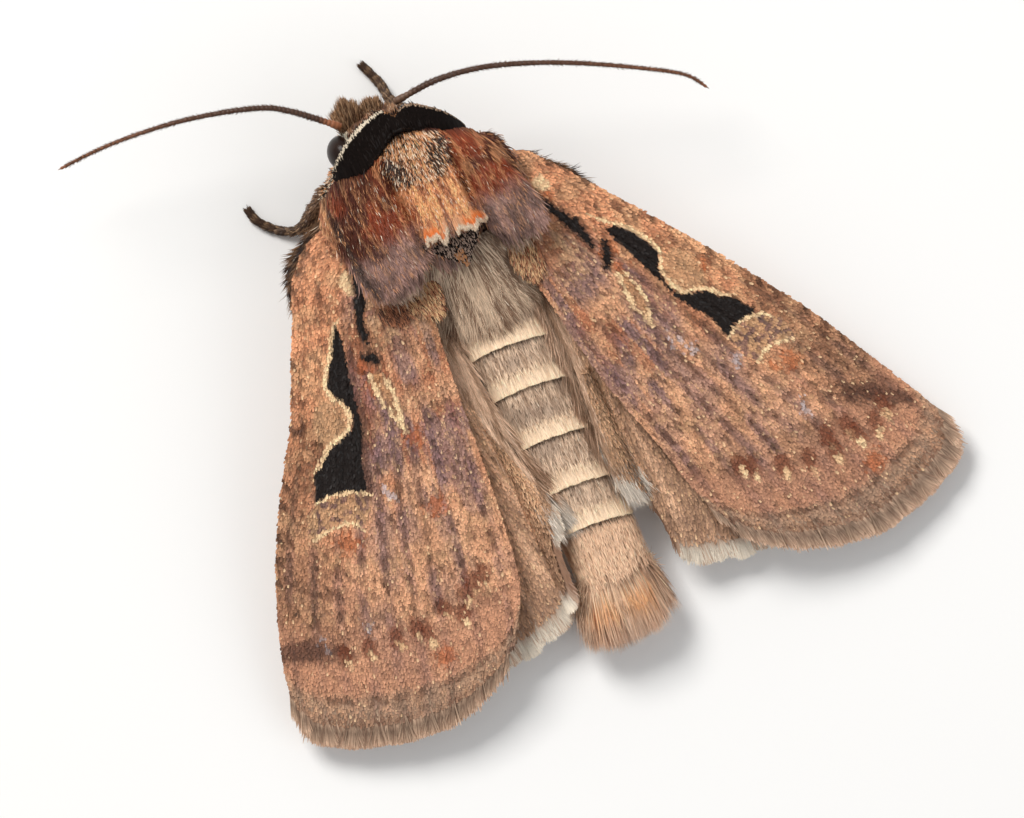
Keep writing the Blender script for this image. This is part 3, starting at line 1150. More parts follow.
def fullness(forward, power):
    return max(0.0, 1.0 - abs(forward) ** power) ** (1.0 / power)


def round_form(middle, half, power, below=None, widest=9.0):
    """A rounded form. below is its half height under the middle, widest where its sides are flat."""
    def place(forward, side, up):
        full = fullness(forward, power)
        across = max(-widest, min(widest, half[0] * full * side))
        tall = half[2] if below is None or up >= 0.0 else below
        return middle[0] + across, middle[1] + half[1] * forward, middle[2] + tall * full * up

    return place


def abdomen_form(forward, side, up):
    y = -8.0 + 6.6 * forward
    full = fullness(forward, 8.0)
    middle_x, middle_z, half_width, half_height = (float(part) for part in abdomen_section(y))
    return middle_x + (half_width - 0.1) * full * side, y, middle_z + (half_height - 0.1) * full * up


def pad_form(x_middle, y_middle, half_x, half_y):
    def place(forward, side, up):
        full = fullness(forward, 3.0)
        x, y = x_middle + half_x * full * side, y_middle + half_y * forward
        return x, y, float(coat_top(x, y)) - 0.75 + 0.42 * full * up

    return place


def collar_form():
    """A curved sheet from the collar's rear edge to its rim."""
    shape = raised_grid(40, 8)
    for vertex in shape.verts:
        u, v, w = vertex.co
        lean = (u - 0.5) * math.pi * 0.97
        x = COLLAR_X + (COLLAR_HALF - 0.12) * math.sin(lean)
        rear, rim = float(collar_rear(x)) - 0.1, float(collar_rim(x)) - 0.14
        sink = 0.1 + (0.5 - 0.22 * v) * (1.0 - w)
        z = COLLAR_BASE + (collar_bow(v) - sink) * math.cos(lean)
        vertex.co = (x - sink * math.sin(lean), rear + (rim - rear) * v, z)
    return shape


THORAX = round_form((-0.3, -0.75, 3.2), (2.1, 2.1, 1.9), 2.4, below=1.6)
NECK = round_form((-0.6, 1.3, 3.2), (1.3, 0.9, 1.35), 2.0)
HEAD = round_form((-0.85, 2.2, 3.1), (1.3, 0.8, 0.98), 2.3, widest=1.0)
TAIL = round_form((-0.05, -15.0, 1.36), (1.2, 0.8, 0.85), 2.5)


def to_frame(shape):
    """Carries a bmesh drawn in mm of the drawing into the frame, in metres."""
    bmesh.ops.translate(shape, verts=shape.verts, vec=SHIFT)
    bmesh.ops.scale(shape, verts=shape.verts, vec=(MM, MM, MM))


def make_body():
    places = (THORAX, NECK, HEAD, abdomen_form, TAIL, *(pad_form(*pad) for pad in PADS))
    joined = bmesh.new()
    for shape in (*map(ball, places), collar_form()):
        bmesh.ops.recalc_face_normals(shape, faces=shape.faces)
        part = mesh_from("part", shape)
        joined.from_mesh(part)
        bpy.data.meshes.remove(part)
    to_frame(joined)
    piece = add_object("body_skin", mesh_from("body_forms", joined))
    melt = piece.modifiers.new("melt", "REMESH")
    melt.mode = "VOXEL"
    melt.voxel_size = BODY_VOXEL * MM
    melt.use_smooth_shade = True
    piece.modifiers.new("relax", "SMOOTH").iterations = 5
    graph = bpy.context.evaluated_depsgraph_get()
    mesh = bpy.data.meshes.new_from_object(piece.evaluated_get(graph))
    piece.modifiers.clear()
    piece.data = mesh
    mesh.name = "body_skin"
    mesh.materials.clear()
    mesh.materials.append(body_skin)
    return piece


body = make_body()
print("body skin faces:", len(body.data.polygons))

# %% [markdown]
# ## Colours of the body
# The thorax is red brown on its shoulder pads and mauve grey behind them. Its crest starts with a
# speckled tan patch behind the black collar, and ends in two orange tufts tipped with cream over a
# black patch. The abdomen is grey brown, and each ring ends in a cream band with a thin dark line.

# %% Tones of the thorax
BRICK = colour(136, 62, 36)
BRICK_DARK = colour(80, 38, 25)
MAUVE_HAIR = colour(148, 116, 106)
STRAND = colour(212, 150, 104)
SAND = colour(206, 156, 122)
SOOT = colour(60, 46, 40)
ORANGE = colour(226, 116, 50)
HONEY = colour(222, 166, 120)
MILK = colour(250, 232, 206)
DARK_STRIPE = (
    (-3.55, 0.85, 0.08), (-3.4, 0.2, 0.14), (-3.32, -0.7, 0.14), (-3.28, -1.7, 0.12), (-3.1, -2.7, 0.06),
)
SOOT_SPOTS = (((-0.78, 1.2), 0.42), ((-0.66, 0.72), 0.3), ((0.66, 0.85), 0.34), ((0.62, 0.2), 0.34))


def thorax_tone(x, y):
    place = np.column_stack([x, y])
    strand = grain(x * 17.0 + 0.7 * y, y * 1.6, 51)
    blotch = noise(place, 0.5, 52)
    loose = step(0.45, 0.65, strand)
    rear = step(-0.9, -1.7, y + 0.6 * (blotch - 0.5))
    grey = blend(MAUVE_HAIR, MAUVE_HAIR * 0.55, step(0.4, 0.7, noise(place, 0.3, 54)))
    inner = step(0.75, 0.25, np.abs(np.abs(x) - 1.25)) * step(1.5, 0.8, y) * (1.0 - rear)
    right = step(2.0, 2.5, x) * step(-1.4, -0.6, y)
    stripe = stroke_distance(place, DARK_STRIPE) + 0.2 * (blotch - 0.5)
    outer = step(-3.45, -3.6, x) * step(-0.6, 0.1, y)
    middle = step(0.98, 0.7, np.abs(x - 0.1)) * step(-2.0, -1.6, y)
    dusk = middle * step(0.2, 0.6, y) * step(0.62, 0.75, noise(place, 0.16, 53))
    tone = layered(
        blend(BRICK, BRICK_DARK, step(0.35, 0.7, blotch)),
        (STRAND, 0.35 * step(0.62, 0.8, strand)),
        (blend(grey * 1.3, SAND, 0.5 * step(0.62, 0.85, strand)), rear),
        (STRAND, 0.4 * inner * loose),
        (STRAND, 0.45 * right * loose),
        (SOOT, 0.8 * step(0.12, -0.06, stripe)),
        (blend(HONEY * 0.8, RUSSET, step(0.4, 0.7, strand)), outer),
        (blend(STRAND * 1.5, RUSSET, step(0.55, 0.3, strand)), middle),
        (SOOT * 1.1, 0.5 * dusk),
    )
    for spot, size in SOOT_SPOTS:
        away = np.linalg.norm((place - spot) * (1.5, 0.9), axis=1) + 0.3 * (blotch - 0.5)
        tone = blend(tone, SOOT * 0.7, 0.75 * step(size, 0.3 * size, away))
    gap = step(0.2, 0.05, np.abs(x - 0.12)) * step(-0.9, -1.5, y)
    return blend(tone, MAUVE_HAIR * 0.7, 0.7 * gap)


# %% [markdown]
# The rings of the abdomen sit a little askew, so their bands are measured square to them.

# %% Tones of the abdomen, the tail and the whole body
BAND_PLACES = np.array((-4.4, -5.8, -7.35, -9.2, -10.95, -12.4))
PEARL = colour(214, 186, 160)
BELLY = colour(166, 136, 112)
RING_GREY = colour(146, 122, 106)
RING_CREAM = colour(255, 224, 190)
TAIL_FRONT = colour(240, 200, 166)
TAIL_PALE = colour(232, 196, 164)
TAIL_BROWN = colour(178, 140, 114)
TAIL_GLOW = colour(236, 172, 116)
HEAD_BROWN = colour(118, 82, 62)


def ring_askew(x, y):
    """How far a ring's edge lies behind its middle line at x."""
    return 0.1 * x + 0.12 * ((x - abdomen_section(y)[0]) / 1.3) ** 2


def abdomen_tone(x, y):
    ripple = 0.06 * (lines(x * 9.0, 61) - 0.5)
    behind = (y + ring_askew(x, y) + ripple)[:, None] - BAND_PLACES[None, :]
    band = (step(-0.03, 0.02, behind) * step(0.75, 0.25, behind)).max(axis=1)
    line = (step(0.02, -0.02, behind) * step(-0.22, -0.08, behind)).max(axis=1)
    tone = layered(
        blend(PEARL, BELLY, 0.8 * step(0.45, 0.75, grain(x * 16.0, y * 1.5, 62))),
        (RING_GREY, 0.5 * step(0.45, 0.7, grain(x, y, 67, 0.6))),
        (TAIL_FRONT, 0.8 * step(-12.3, -12.9, y)),
    )
    broken = 0.3 + 0.5 * step(0.35, 0.6, grain(x * 2.0, y, 68))
    return layered(tone * 1.08, (RING_CREAM, 0.85 * band), (SOOT, line * broken))


def tail_tone(x, y):
    glow = step(0.8, 0.25, np.abs(np.abs(x + 0.2) - 0.7)) * step(-16.2, -15.6, y) * step(-14.8, -15.2, y)
    strand = grain(x * 12.0, y * 1.5, 64)
    return layered(blend(TAIL_PALE, TAIL_BROWN, step(0.4, 0.75, strand)), (TAIL_GLOW, 0.8 * glow))


def body_tone(points, normals):
    x, y, z = points.T
    facing = normals[:, 2]
    side = blend(MAUVE_HAIR * 0.8, BELLY, step(0.1, -0.5, facing))
    side = side * (0.8 + 0.4 * noise(points, 0.3, 65))[:, None]
    head = step(1.3, 1.6, y)
    hair = blend(HEAD_BROWN, SAND, 0.6 * step(0.5, 0.9, noise(points, 0.18, 66)))
    rim = collar_height(x, 0.5)
    collar = head * step(0.05, -0.05, np.abs(x - COLLAR_X) - 2.3) * step(rim - 0.55, rim - 0.4, z)
    rings = abdomen_tone(x, y) * (0.75 + 0.25 * step(-0.6, 0.4, facing))[:, None]
    return layered(
        side,
        (thorax_tone(x, y), step(0.1, 0.5, facing)),
        (hair, head),
        (INK, collar),
        (rings, step(-2.3, -2.6, y)),
        (tail_tone(x, y), step(-14.35, -14.6, y)),
    )


# %% [markdown]
# The skin carries the same markings as its hair, a little darker, and is unrolled into one map.

# %% Finish the body skin
def unrolled(points):
    """The map of the body: the angle round it, with its seam below, and the place along it."""
    x, y, z = points.T
    middle_x, middle_z, _, _ = abdomen_section(y)
    front = step(-3.0, -1.5, y)
    middle_x = middle_x + (-0.3 - middle_x) * front
    middle_z = middle_z + (3.2 - middle_z) * front
    angle = np.arctan2(x - middle_x, z - middle_z) / (2.0 * np.pi) + 0.5
    return np.clip(np.column_stack([angle, (y + 17.0) / 21.5]), 0.01, 0.99)


def finish_skin(piece):
    mesh = piece.data
    points = drawn_points(mesh)
    normals = read_rows(mesh.vertices, "normal").astype(float)
    paint(mesh, body_tone(points, normals) * 0.8)
    corners = read_rows(mesh.loops, "vertex_index", 1, np.int32)[:, 0]
    layer = mesh.uv_layers.new(name=MAP_NAME)
    layer.data.foreach_set("uv", unrolled(points)[corners].astype(np.float32).ravel())
    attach(piece, "root")


finish_skin(body)
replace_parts(body, "thorax", "collar", "tegula_left", "tegula_right", "head", "abdomen", "tail_tuft")

# %% [markdown]
# ## Hair over the whole body
# Hair grows from every side of the skin, and lies back along the body. Roots are drawn evenly by
# area from the skin's own triangles, each hair starts a little under the skin and bends along it.
# It is short and flat on the abdomen, longer on the sides of the thorax, and points forward on the
# head.

# %% Scatter hair on the skin
HAIR_STEPS = np.array((0.0, 0.4, 0.75, 1.0))
HAIR_SHAPE = (0.8, 1.0, 0.7, 0.0)
HAIR_SINK = 0.04


def skin_roots(mesh, count, seed):
    """Points drawn evenly by area over a mesh, with the way each faces."""
    rng = np.random.default_rng(seed)
    mesh.calc_loop_triangles()
    spots = drawn_points(mesh)
    corners = read_rows(mesh.loop_triangles, "vertices", 3, np.int32)
    first, second, third = (spots[corner] for corner in corners.T)
    facing = np.cross(second - first, third - first)
    area = np.linalg.norm(facing, axis=1)
    picked = rng.choice(len(area), count, p=area / area.sum())
    a, b = rng.uniform(0.0, 1.0, (2, count, 1))
    over = (a + b) > 1.0
    a, b = np.where(over, 1.0 - a, a), np.where(over, 1.0 - b, b)
    points = first[picked] + (second - first)[picked] * a + (third - first)[picked] * b
    return points, unit(facing[picked])


def body_hair(count):
    """Each hair leaves its root along its flow, stays close to the skin and lifts at its tip."""
    roots, normals = skin_roots(body.data, count, 71)
    x, y, z = roots.T
    tones = body_tone(np.column_stack([x, y + np.where(y < -2.5, -0.3, 0.0), z]), normals)
    ahead = y > 1.6
    flow = np.where(ahead[:, None], (0.0, 1.0, 0.25), (0.0, -1.0, -0.12))
    length = np.where(ahead, 0.4, np.where(y < -2.6, 0.5, 0.75))
    length = np.where((normals[:, 1] > 0.1) & (x > 1.2) & ~ahead, 0.3, length)
    rise = np.where(y < -2.6, 0.1, 0.16)
    rng = np.random.default_rng(72)
    flow = unit(flow - (flow * normals).sum(axis=1)[:, None] * normals)
    beside = unit(np.cross(flow, normals))
    flow = unit(flow + beside * rng.normal(0.0, 0.16, count)[:, None])
    beside = unit(np.cross(flow, normals) + normals * rng.normal(0.0, 0.35, count)[:, None])
    t = HAIR_STEPS[None, :, None]
    length = (length * rng.uniform(0.7, 1.15, count))[:, None, None]
    rise = (rise * rng.uniform(0.5, 1.2, count))[:, None, None]
    path = roots[:, None, :] + flow[:, None, :] * length * t
    path = path + normals[:, None, :] * (rise * (1.0 - (1.0 - t) ** 2) - HAIR_SINK)
    tones = tones[:, None, :] * (rng.uniform(0.75, 1.22, count)[:, None, None] * (0.72 + 0.36 * t))
    width = 0.055 * rng.uniform(0.7, 1.2, count)
    vanes(
        "body_hair", path, beside, width, HAIR_SHAPE, tones, unrolled(roots), silky_hair, "abdomen_scales"
    )


body_hair(22000)

# %% [markdown]
# ## The combed top coat
# What shows from above is combed hair: it flows back over the shoulder pads and the crest, each
# hair overlapping the next. These hairs follow the height of the coat itself, so that the back keeps
# one smooth, rounded line, and each takes the colour of the place where its tip lies.

# %% Comb hair over a height
BACK = (0.0, -1.0)


def comb(name, roots, flow, length, height, tones, width, slot, seed, sink=0.3, lift=0.0,
         profile=HAIR_SHAPE, steps=HAIR_STEPS, curl=0.05, uneven=0.2, stray=0.09, material=silky_hair):
    """Hair over height(x, y). roots and flow are in the plan, tones(x, y, steps, rng) gives colours
    for the places of the tips. Roots sink below the height, tips lift, and strays turn aside."""
    rng = np.random.default_rng(seed)
    count = len(roots)
    flow = unit(flow + rng.normal(0.0, stray, (count, 2)))
    beside = np.column_stack([-flow[:, 1], flow[:, 0]])
    span = length * rng.uniform(1.0 - uneven, 1.0 + 0.7 * uneven, count)
    t = steps[None, :]
    bend = rng.normal(0.0, curl, count)[:, None] * (t * t)
    plan = roots[:, None, :] + flow[:, None, :] * (span[:, None] * t)[:, :, None]
    plan = plan + beside[:, None, :] * (bend * span[:, None])[:, :, None]
    x, y = plan[:, :, 0], plan[:, :, 1]
    z = height(x.ravel(), y.ravel()).reshape(x.shape)
    depth = sink * (1.0 - t) ** 1.4 + rng.uniform(0.0, 0.12, count)[:, None]
    path = np.stack([x, y, z - depth + lift * t * t], axis=2)
    level = height(*roots.T)
    slope = (height(*(roots + beside * 0.05).T) - level) / 0.05
    side = unit(np.column_stack([beside, slope + rng.normal(0.0, 0.35, count)]))
    colours = tones(x[:, -1], y[:, -1], steps, rng)
    width = width * rng.uniform(0.7, 1.25, count)
    places = unrolled(np.column_stack([roots, level]))
    vanes(name, path, side, width, profile, colours, places, material, slot)


def from_tip(toner, low=0.55, high=1.2, spread=0.3, pale=0.012, mingled=0.0):
    """Colours hair by the place of its tip, darker at the root. A few tips are worn to a pale glint."""
    def tones(x, y, steps, rng):
        tone = toner(x, y)
        tone = np.where((rng.random(len(x)) < mingled)[:, None], STRAND, tone)
        tone = tone * rng.uniform(1.0 - spread, 1.0 + spread, len(x))[:, None]
        tones = tone[:, None, :] * (low + (high - low) * steps)[None, :, None]
        tones[rng.random(len(x)) < pale, -2:] = MILK
        return tones

    return tones


def tipped(root, tip, low, high, steps):
    """Hair with the root's colour up to low of its length and the tip's own from high on."""
    return root + (tip[:, None, :] - root) * step(low, high, steps)[None, :, None]


def spread_roots(count, low, high, inside, seed):
    """Points spread at random over a box of the drawing, kept where inside(x, y) is true."""
    spots = np.random.default_rng(seed).uniform(low, high, (count, 2))
    return spots[inside(spots[:, 0], spots[:, 1])]


def fanned(roots, spread, middle=RIDGE_X, ahead=-1.0):
    """A way back, or ahead, that turns aside with the distance from the middle."""
    return np.column_stack([spread * (roots[:, 0] - middle), np.full(len(roots), ahead)])


# %% [markdown]
# The shoulders are combed by hand: a few partings give the way that the hair lies, and every hair
# takes the mean of those near it.

# %% Comb the shoulders
LEFT_PAD = (
    (-1.0, 1.85), (-1.2, 1.75), (-2.0, 1.66), (-2.9, 1.55), (-3.25, 1.32), (-3.55, 1.05), (-3.62, 0.4),
    (-3.5, -0.6), (-3.38, -1.5), (-3.15, -2.05), (-2.6, -2.05), (-2.0, -1.75), (-1.5, -1.7),
    (-1.08, -1.45), (-0.95, -0.4), (-0.92, 0.8),
)
RIGHT_PAD = (
    (0.98, 1.7), (1.3, 1.55), (1.95, 1.36), (2.28, 0.98), (2.52, 0.55), (2.62, 0.0), (2.8, -0.5),
    (2.98, -1.2), (3.02, -2.1), (2.5, -2.2), (1.9, -1.95), (1.4, -1.65), (1.12, -1.2), (1.0, -0.3),
    (0.98, 0.8),
)
SHOULDER_WAYS = (
    (-3.3, 1.2, -0.4, -1.0), (-3.4, 0.2, -0.05, -1.0), (-3.2, -1.2, 0.05, -1.0), (-2.9, -2.0, 0.0, -1.0),
    (-2.6, 1.3, -0.2, -1.0), (-2.1, 0.2, 0.02, -1.0), (-2.3, -1.5, 0.1, -1.0), (-1.3, 1.4, -0.1, -1.0),
    (-1.3, 0.0, 0.18, -1.0), (-1.4, -1.2, 0.3, -1.0), (1.2, 1.2, 0.25, -1.0), (1.3, 0.0, 0.15, -1.0),
    (1.3, -1.2, 0.3, -1.0), (2.1, 1.0, 0.35, -1.0), (2.6, 0.3, 0.08, -1.0), (2.5, 0.9, 0.35, -1.0),
    (2.3, -1.0, 0.15, -1.0), (2.7, -2.0, 0.15, -1.0),
)


def combed_way(roots, partings):
    """The way hair lies at each root: the mean of the partings near it, each x, y and its way."""
    partings = np.array(partings)
    away = np.linalg.norm(roots[:, None, :] - partings[None, :, :2], axis=2)
    weight = 1.0 / (away + 0.15) ** 3
    return unit((weight[:, :, None] * partings[None, :, 2:]).sum(axis=1))


def shoulder_height(x, y):
    """The coat's top, with a groove on each side of the crest and the pads thinning to the rear."""
    groove = 0.25 * step(0.25, 0.0, np.abs(np.abs(x - RIDGE_X) - 1.08)) * step(1.7, 0.9, y)
    uneven = 0.12 * (grain(x * 2.2, y * 0.8, 80) - 0.5)
    return coat_top(x, y) - groove + uneven - 0.12 * step(-1.6, -3.0, y)


def on_shoulders(x, y):
    spots = np.column_stack([x, y])
    least = np.minimum(shape_distance(spots, LEFT_PAD), shape_distance(spots, RIGHT_PAD))
    return least < 0.1 * (noise(spots, 0.2, 79) - 0.5)


roots = spread_roots(42000, (-3.75, -2.4), (3.2, 2.0), on_shoulders, 81)
comb(
    "shoulder_hair", roots, combed_way(roots, SHOULDER_WAYS), 0.75, shoulder_height,
    from_tip(thorax_tone, 0.4, 1.25, 0.42, 0.01, 0.05), 0.033, "thorax_hair", 82,
    sink=0.4, lift=0.05, uneven=0.35, curl=0.1,
)

# %% [markdown]
# The crest between the pads starts at the collar with short, stiff hair that fans out, and runs back
# in silky strands. Its front is set with narrow scales between the hairs, dark at the root and pale
# at the tip.

# %% Comb the crest
NEEDLE_SHAPE = (0.5, 1.0, 0.85, 0.25)


def on_crest(x, y):
    return (np.abs(x - RIDGE_X) < 1.08) & (y < collar_rear(x) + 0.06)


def on_crest_front(x, y):
    return (np.hypot((x - RIDGE_X) / 1.02, (y - 1.5) / 0.95) < 1.0) & (y < collar_rear(x) + 0.08)


def speckles(x, y, steps, rng):
    pale = rng.random(len(x))
    dark = 0.3 + 0.45 * step(0.25, 0.5, np.abs(x + 0.02)) * step(1.6, 1.2, y)
    tip = np.where((pale < dark)[:, None], SOOT * 0.8, blend(STRAND, MILK, step(0.6, 1.0, pale)))
    return tipped(BRICK_DARK * 0.7, tip, 0.35, 0.8, steps)


roots = spread_roots(16000, (-1.1, -1.3), (1.2, 2.4), on_crest, 83)
comb(
    "crest_hair", roots, fanned(roots, 0.16 * (1.0 + 2.5 * step(0.8, 2.0, roots[:, 1]))), 0.5,
    shoulder_height, from_tip(thorax_tone, 0.45, 1.3, 0.4, 0.04, 0.22), 0.033, "thorax_hair", 84,
    lift=0.06, uneven=0.35, curl=0.1,
)
roots = spread_roots(4600, (-1.15, 0.4), (1.15, 2.4), on_crest_front, 85)
comb(
    "crest_scales", roots, fanned(roots, 0.5), 0.46, shoulder_height, speckles, 0.034, "thorax_hair", 86,
    sink=0.14, lift=0.08, profile=NEEDLE_SHAPE, uneven=0.3,
)

# %% [markdown]
# The crest ends in two tufts: honey hair that turns orange and ends in a cream edge. Under them lies
# the black patch with its grey flecks.

# %% Rear tufts and black patch
TUFTS = {"left": (-0.88, -0.05, -1.56), "right": (0.22, 1.3, -1.6)}
TUFT_STEPS = np.array((0.0, 0.3, 0.62, 0.88, 0.95, 1.0))
TUFT_SHAPE = (0.7, 1.0, 1.0, 0.9, 0.8, 0.15)
PATCH_SHAPE = (0.5, 0.9, 1.0, 0.55)
ASH = colour(172, 146, 130)


def tuft_tones(glow):
    """Honey hair that turns orange and ends in cream. glow is how orange each hair is."""
    def tones(x, y, steps, rng):
        luck = rng.uniform(0.7, 1.15, len(x))[:, None]
        dull = TAN * (1.15, 1.1, 1.06)
        fire = blend(dull, ORANGE, glow)
        cream = blend(HONEY, MILK, rng.uniform(0.5, 1.0, len(x)))
        warm = 0.6 * blend(dull, HONEY, glow) + 0.4 * fire
        bands = (dull * 0.5, dull * 0.85, warm, fire, cream * 0.75, cream)
        return np.stack([band * luck for band in bands], axis=1)

    return tones


def lay_tuft(side, inner, outer, end, count=1900):
    rng = np.random.default_rng(87)
    across = rng.random(count)
    tip_x = inner + (outer - inner) * across
    tip_y = end + 0.14 * np.abs(2.0 * across - 1.0) ** 3 - 0.34 * lines(tip_x * 9.0, 96)
    tip_y = tip_y + rng.normal(0.0, 0.035, count)
    roots = np.column_stack([RIDGE_X + (tip_x - RIDGE_X) * 0.8, tip_y + rng.uniform(0.7, 1.2, count)])
    reach = np.column_stack([tip_x, tip_y]) - roots
    length = np.linalg.norm(reach, axis=1)
    glow = step(1.0, 0.6, across)
    if side == "right":
        glow = step(0.15, 0.45, across) * step(1.05, 0.9, across)
    comb(
        f"crest_tuft_{side}", roots, reach / length[:, None], length, shoulder_height, tuft_tones(glow),
        0.036, "thorax_hair", 88, sink=0.28, lift=0.14, profile=TUFT_SHAPE, steps=TUFT_STEPS, curl=0.01,
        uneven=0.03, stray=0.02,
    )


def patch_height(x, y):
    return coat_top(x, y) - 0.22 - 0.45 * step(-1.8, -2.9, y)


def patch_tones(x, y, steps, rng):
    tip = np.where((rng.random(len(x)) > 0.58)[:, None], ASH, INK * 0.8)
    pink = (np.abs(x + 0.02) < 0.16) & (y < -2.3) & (rng.random(len(x)) < 0.55)
    return tipped(INK * 0.6, np.where(pink[:, None], STRAND * 0.85, tip), 0.5, 0.8, steps)


for side, (inner, outer, end) in TUFTS.items():
    lay_tuft(side, inner, outer, end)
roots = spread_roots(
    6400, (-1.1, -2.75), (1.3, -1.4), lambda x, y: y > -2.55 + 0.95 * np.abs(x - RIDGE_X), 89
)
comb(
    "black_patch", roots, fanned(roots, -0.25), 0.32, patch_height, patch_tones, 0.045, "thorax_hair", 90,
    sink=0.15, lift=0.05, profile=PATCH_SHAPE, material=velvet_hair,
)

# %% [markdown]
# Long silky hair springs from behind the black patch and fans out over the first rings of the
# abdomen. It is beige grey, and longer and looser than the rest.

# %% Silky hair over the waist
WAIST_PALE = colour(204, 178, 152)
WAIST_DARK = colour(126, 98, 78)


def waist_height(x, y):
    front = coat_top(x, y) - 0.55
    rear = abdomen_height(np.clip(x, -1.35, 1.5), y, 0.12)
    return front + (rear - front) * step(-2.2, -3.6, y)


def waist_tone(x, y):
    return blend(WAIST_PALE, WAIST_DARK, step(0.35, 0.7, grain(x * 13.0, y * 1.2, 91)))


roots = spread_roots(7000, (-1.35, -3.9), (1.5, -2.05), lambda x, y: y > -3.9 + 0.5 * np.abs(x), 92)
comb(
    "waist_hair", roots, fanned(roots, 0.42), 1.7, waist_height, from_tip(waist_tone, 0.65, 1.25),
    0.034, "abdomen_scales", 93, sink=0.2, lift=0.05, curl=0.12,
)

# %% [markdown]
# ## Abdomen rings
# Each ring ends in an even row of hair, cream at its tips, that stands a little over the start of
# the next ring. The hair between the rows is short and lies flat, and thins out raggedly before the
# tail.

# %% Comb the rings
RING_LOW = 1.2


def ring_height(x, y, over=0.04):
    return np.maximum(abdomen_height(x, y), RING_LOW) + over


def rear_tone(x, y):
    return blend(abdomen_tone(x, y), tail_tone(x, y), step(-14.2, -15.0, y))


def band_tone(x, y):
    return abdomen_tone(x, y + 0.16)


def on_top(x, root_y, tip_y):
    """True where a hair's root and tip both lie on the upper side of the abdomen."""
    return np.minimum(abdomen_height(x, root_y), abdomen_height(x, tip_y)) > RING_LOW


def on_rings(x, y):
    return on_top(x, y, np.maximum(y - 0.5, -14.6)) & (y > -13.7 - 0.9 * grain(x, y, 134, 0.25))


def ring_rows(count, seed):
    """Roots of hair whose tips end on the edge of a ring, and the lengths that take them there."""
    rng = np.random.default_rng(seed)
    place = rng.choice(BAND_PLACES[1:], count)
    x = rng.uniform(-1.3, 1.62, count)
    edge = place - ring_askew(x, place) + 0.05 * grain(x * 8.0, place, 97)
    length = rng.uniform(0.25, 0.6, count)
    kept = on_top(x, edge, edge + length)
    return np.column_stack([x, edge + length])[kept], length[kept]


comb(
    "abdomen_hair", spread_roots(15000, (-1.45, -14.6), (1.75, -4.2), on_rings, 98), BACK, 0.42,
    ring_height, from_tip(rear_tone, 0.8, 1.2, 0.2, 0.004), 0.034, "abdomen_scales", 99,
    sink=0.12, uneven=0.3,
)
roots, length = ring_rows(9000, 100)
comb(
    "ring_hair", roots, BACK, length, lambda x, y: ring_height(x, y, 0.09),
    from_tip(band_tone, 0.75, 1.15, 0.15, 0.0), 0.038, "abdomen_scales", 106,
    sink=0.14, lift=0.03, uneven=0.04, curl=0.02, profile=NEEDLE_SHAPE,
)

# %% [markdown]
# Long hair fills the room between the abdomen and the wings. It grows along the inner edge of each
# hindwing and sweeps back beside the rings. It has to lie on the hindwing, so a small map, cell by
# cell, tells how high the inner half of each hindwing stands.

# %% Silky hair beside the abdomen
TOPS_LOW = np.array((-4.0, -16.0))
TOPS_CELL = 0.08
TOPS_SIZE = (100, 200)
SIDE_PALE = colour(214, 180, 152)
SIDE_BROWN = colour(168, 134, 108)
SIDE_COUNT = 7500
SIDE_PLACES = (-11.0, -9.5, -8.2, -6.4, -4.2, -3.4)
SIDE_EDGES = {
    "left": (
        (-1.45, -1.6, -1.8, -2.1, -2.2, -2.0), (-0.7, -0.9, -1.15, -1.4, -1.45, -1.3),
        (0.25, 0.22, 0.15, 0.06, 0.02, 0.0),
    ),
    "right": (
        (2.05, 2.2, 2.15, 2.15, 2.25, 2.0), (1.35, 1.3, 1.4, 1.6, 1.6, 1.4),
        (0.2, 0.0, -0.12, -0.1, -0.04, 0.0),
    ),
}


def tops_cells(x, y):
    cells = ((np.column_stack([x, y]) - TOPS_LOW) / TOPS_CELL).astype(int)
    return tuple(np.clip(cells, 0, np.array(TOPS_SIZE) - 1).T)


def hindwing_tops(wing):
    u, v = np.meshgrid(np.linspace(0.0, 0.6, 400), np.linspace(0.02, SKIN_END, 900))
    x, y, z = wing.surface(u.ravel(), v.ravel()).T
    tops = np.zeros(TOPS_SIZE)
    np.maximum.at(tops, tops_cells(x, y), z + SKIN_TOP)
    return tops


LEFT_TOPS, RIGHT_TOPS = map(hindwing_tops, HINDWINGS)


def side_height(x, y):
    cells = tops_cells(x, np.maximum(y, -11.3))
    tops = np.where(x > 0.0, RIGHT_TOPS[cells], LEFT_TOPS[cells])
    return np.maximum(np.maximum(tops + 0.06, 3.1 + roof(x, y)), abdomen_height(x, y, 0.1))


def side_tone(x, y):
    strand = step(0.35, 0.7, grain(x * 15.0, y * 0.8, 107))
    return layered(blend(SIDE_PALE, SIDE_BROWN, strand), (SILVER, step(-11.2, -12.0, y)))


for side, edges in SIDE_EDGES.items():
    rng = np.random.default_rng(108)
    share = rng.random(SIDE_COUNT)
    y = rng.uniform(SIDE_PLACES[0], SIDE_PLACES[-1], SIDE_COUNT)
    outer, inner, lean = (np.interp(y, SIDE_PLACES, places) for places in edges)
    comb(
        f"side_hair_{side}", np.column_stack([outer * (1.0 - share) + inner * share, y]),
        np.column_stack([lean, -np.ones(len(y))]), 1.6, side_height,
        from_tip(side_tone, 0.75, 1.2, 0.25, 0.0), 0.034, "abdomen_scales", 109, sink=0.25, curl=0.06,
    )

# %% [markdown]
# ## Hair at the wing roots
# Where the forewings meet the thorax, gold and brown scales stand in tufts over their roots, and
# dark hair from below shows outside the front edge of each wing.

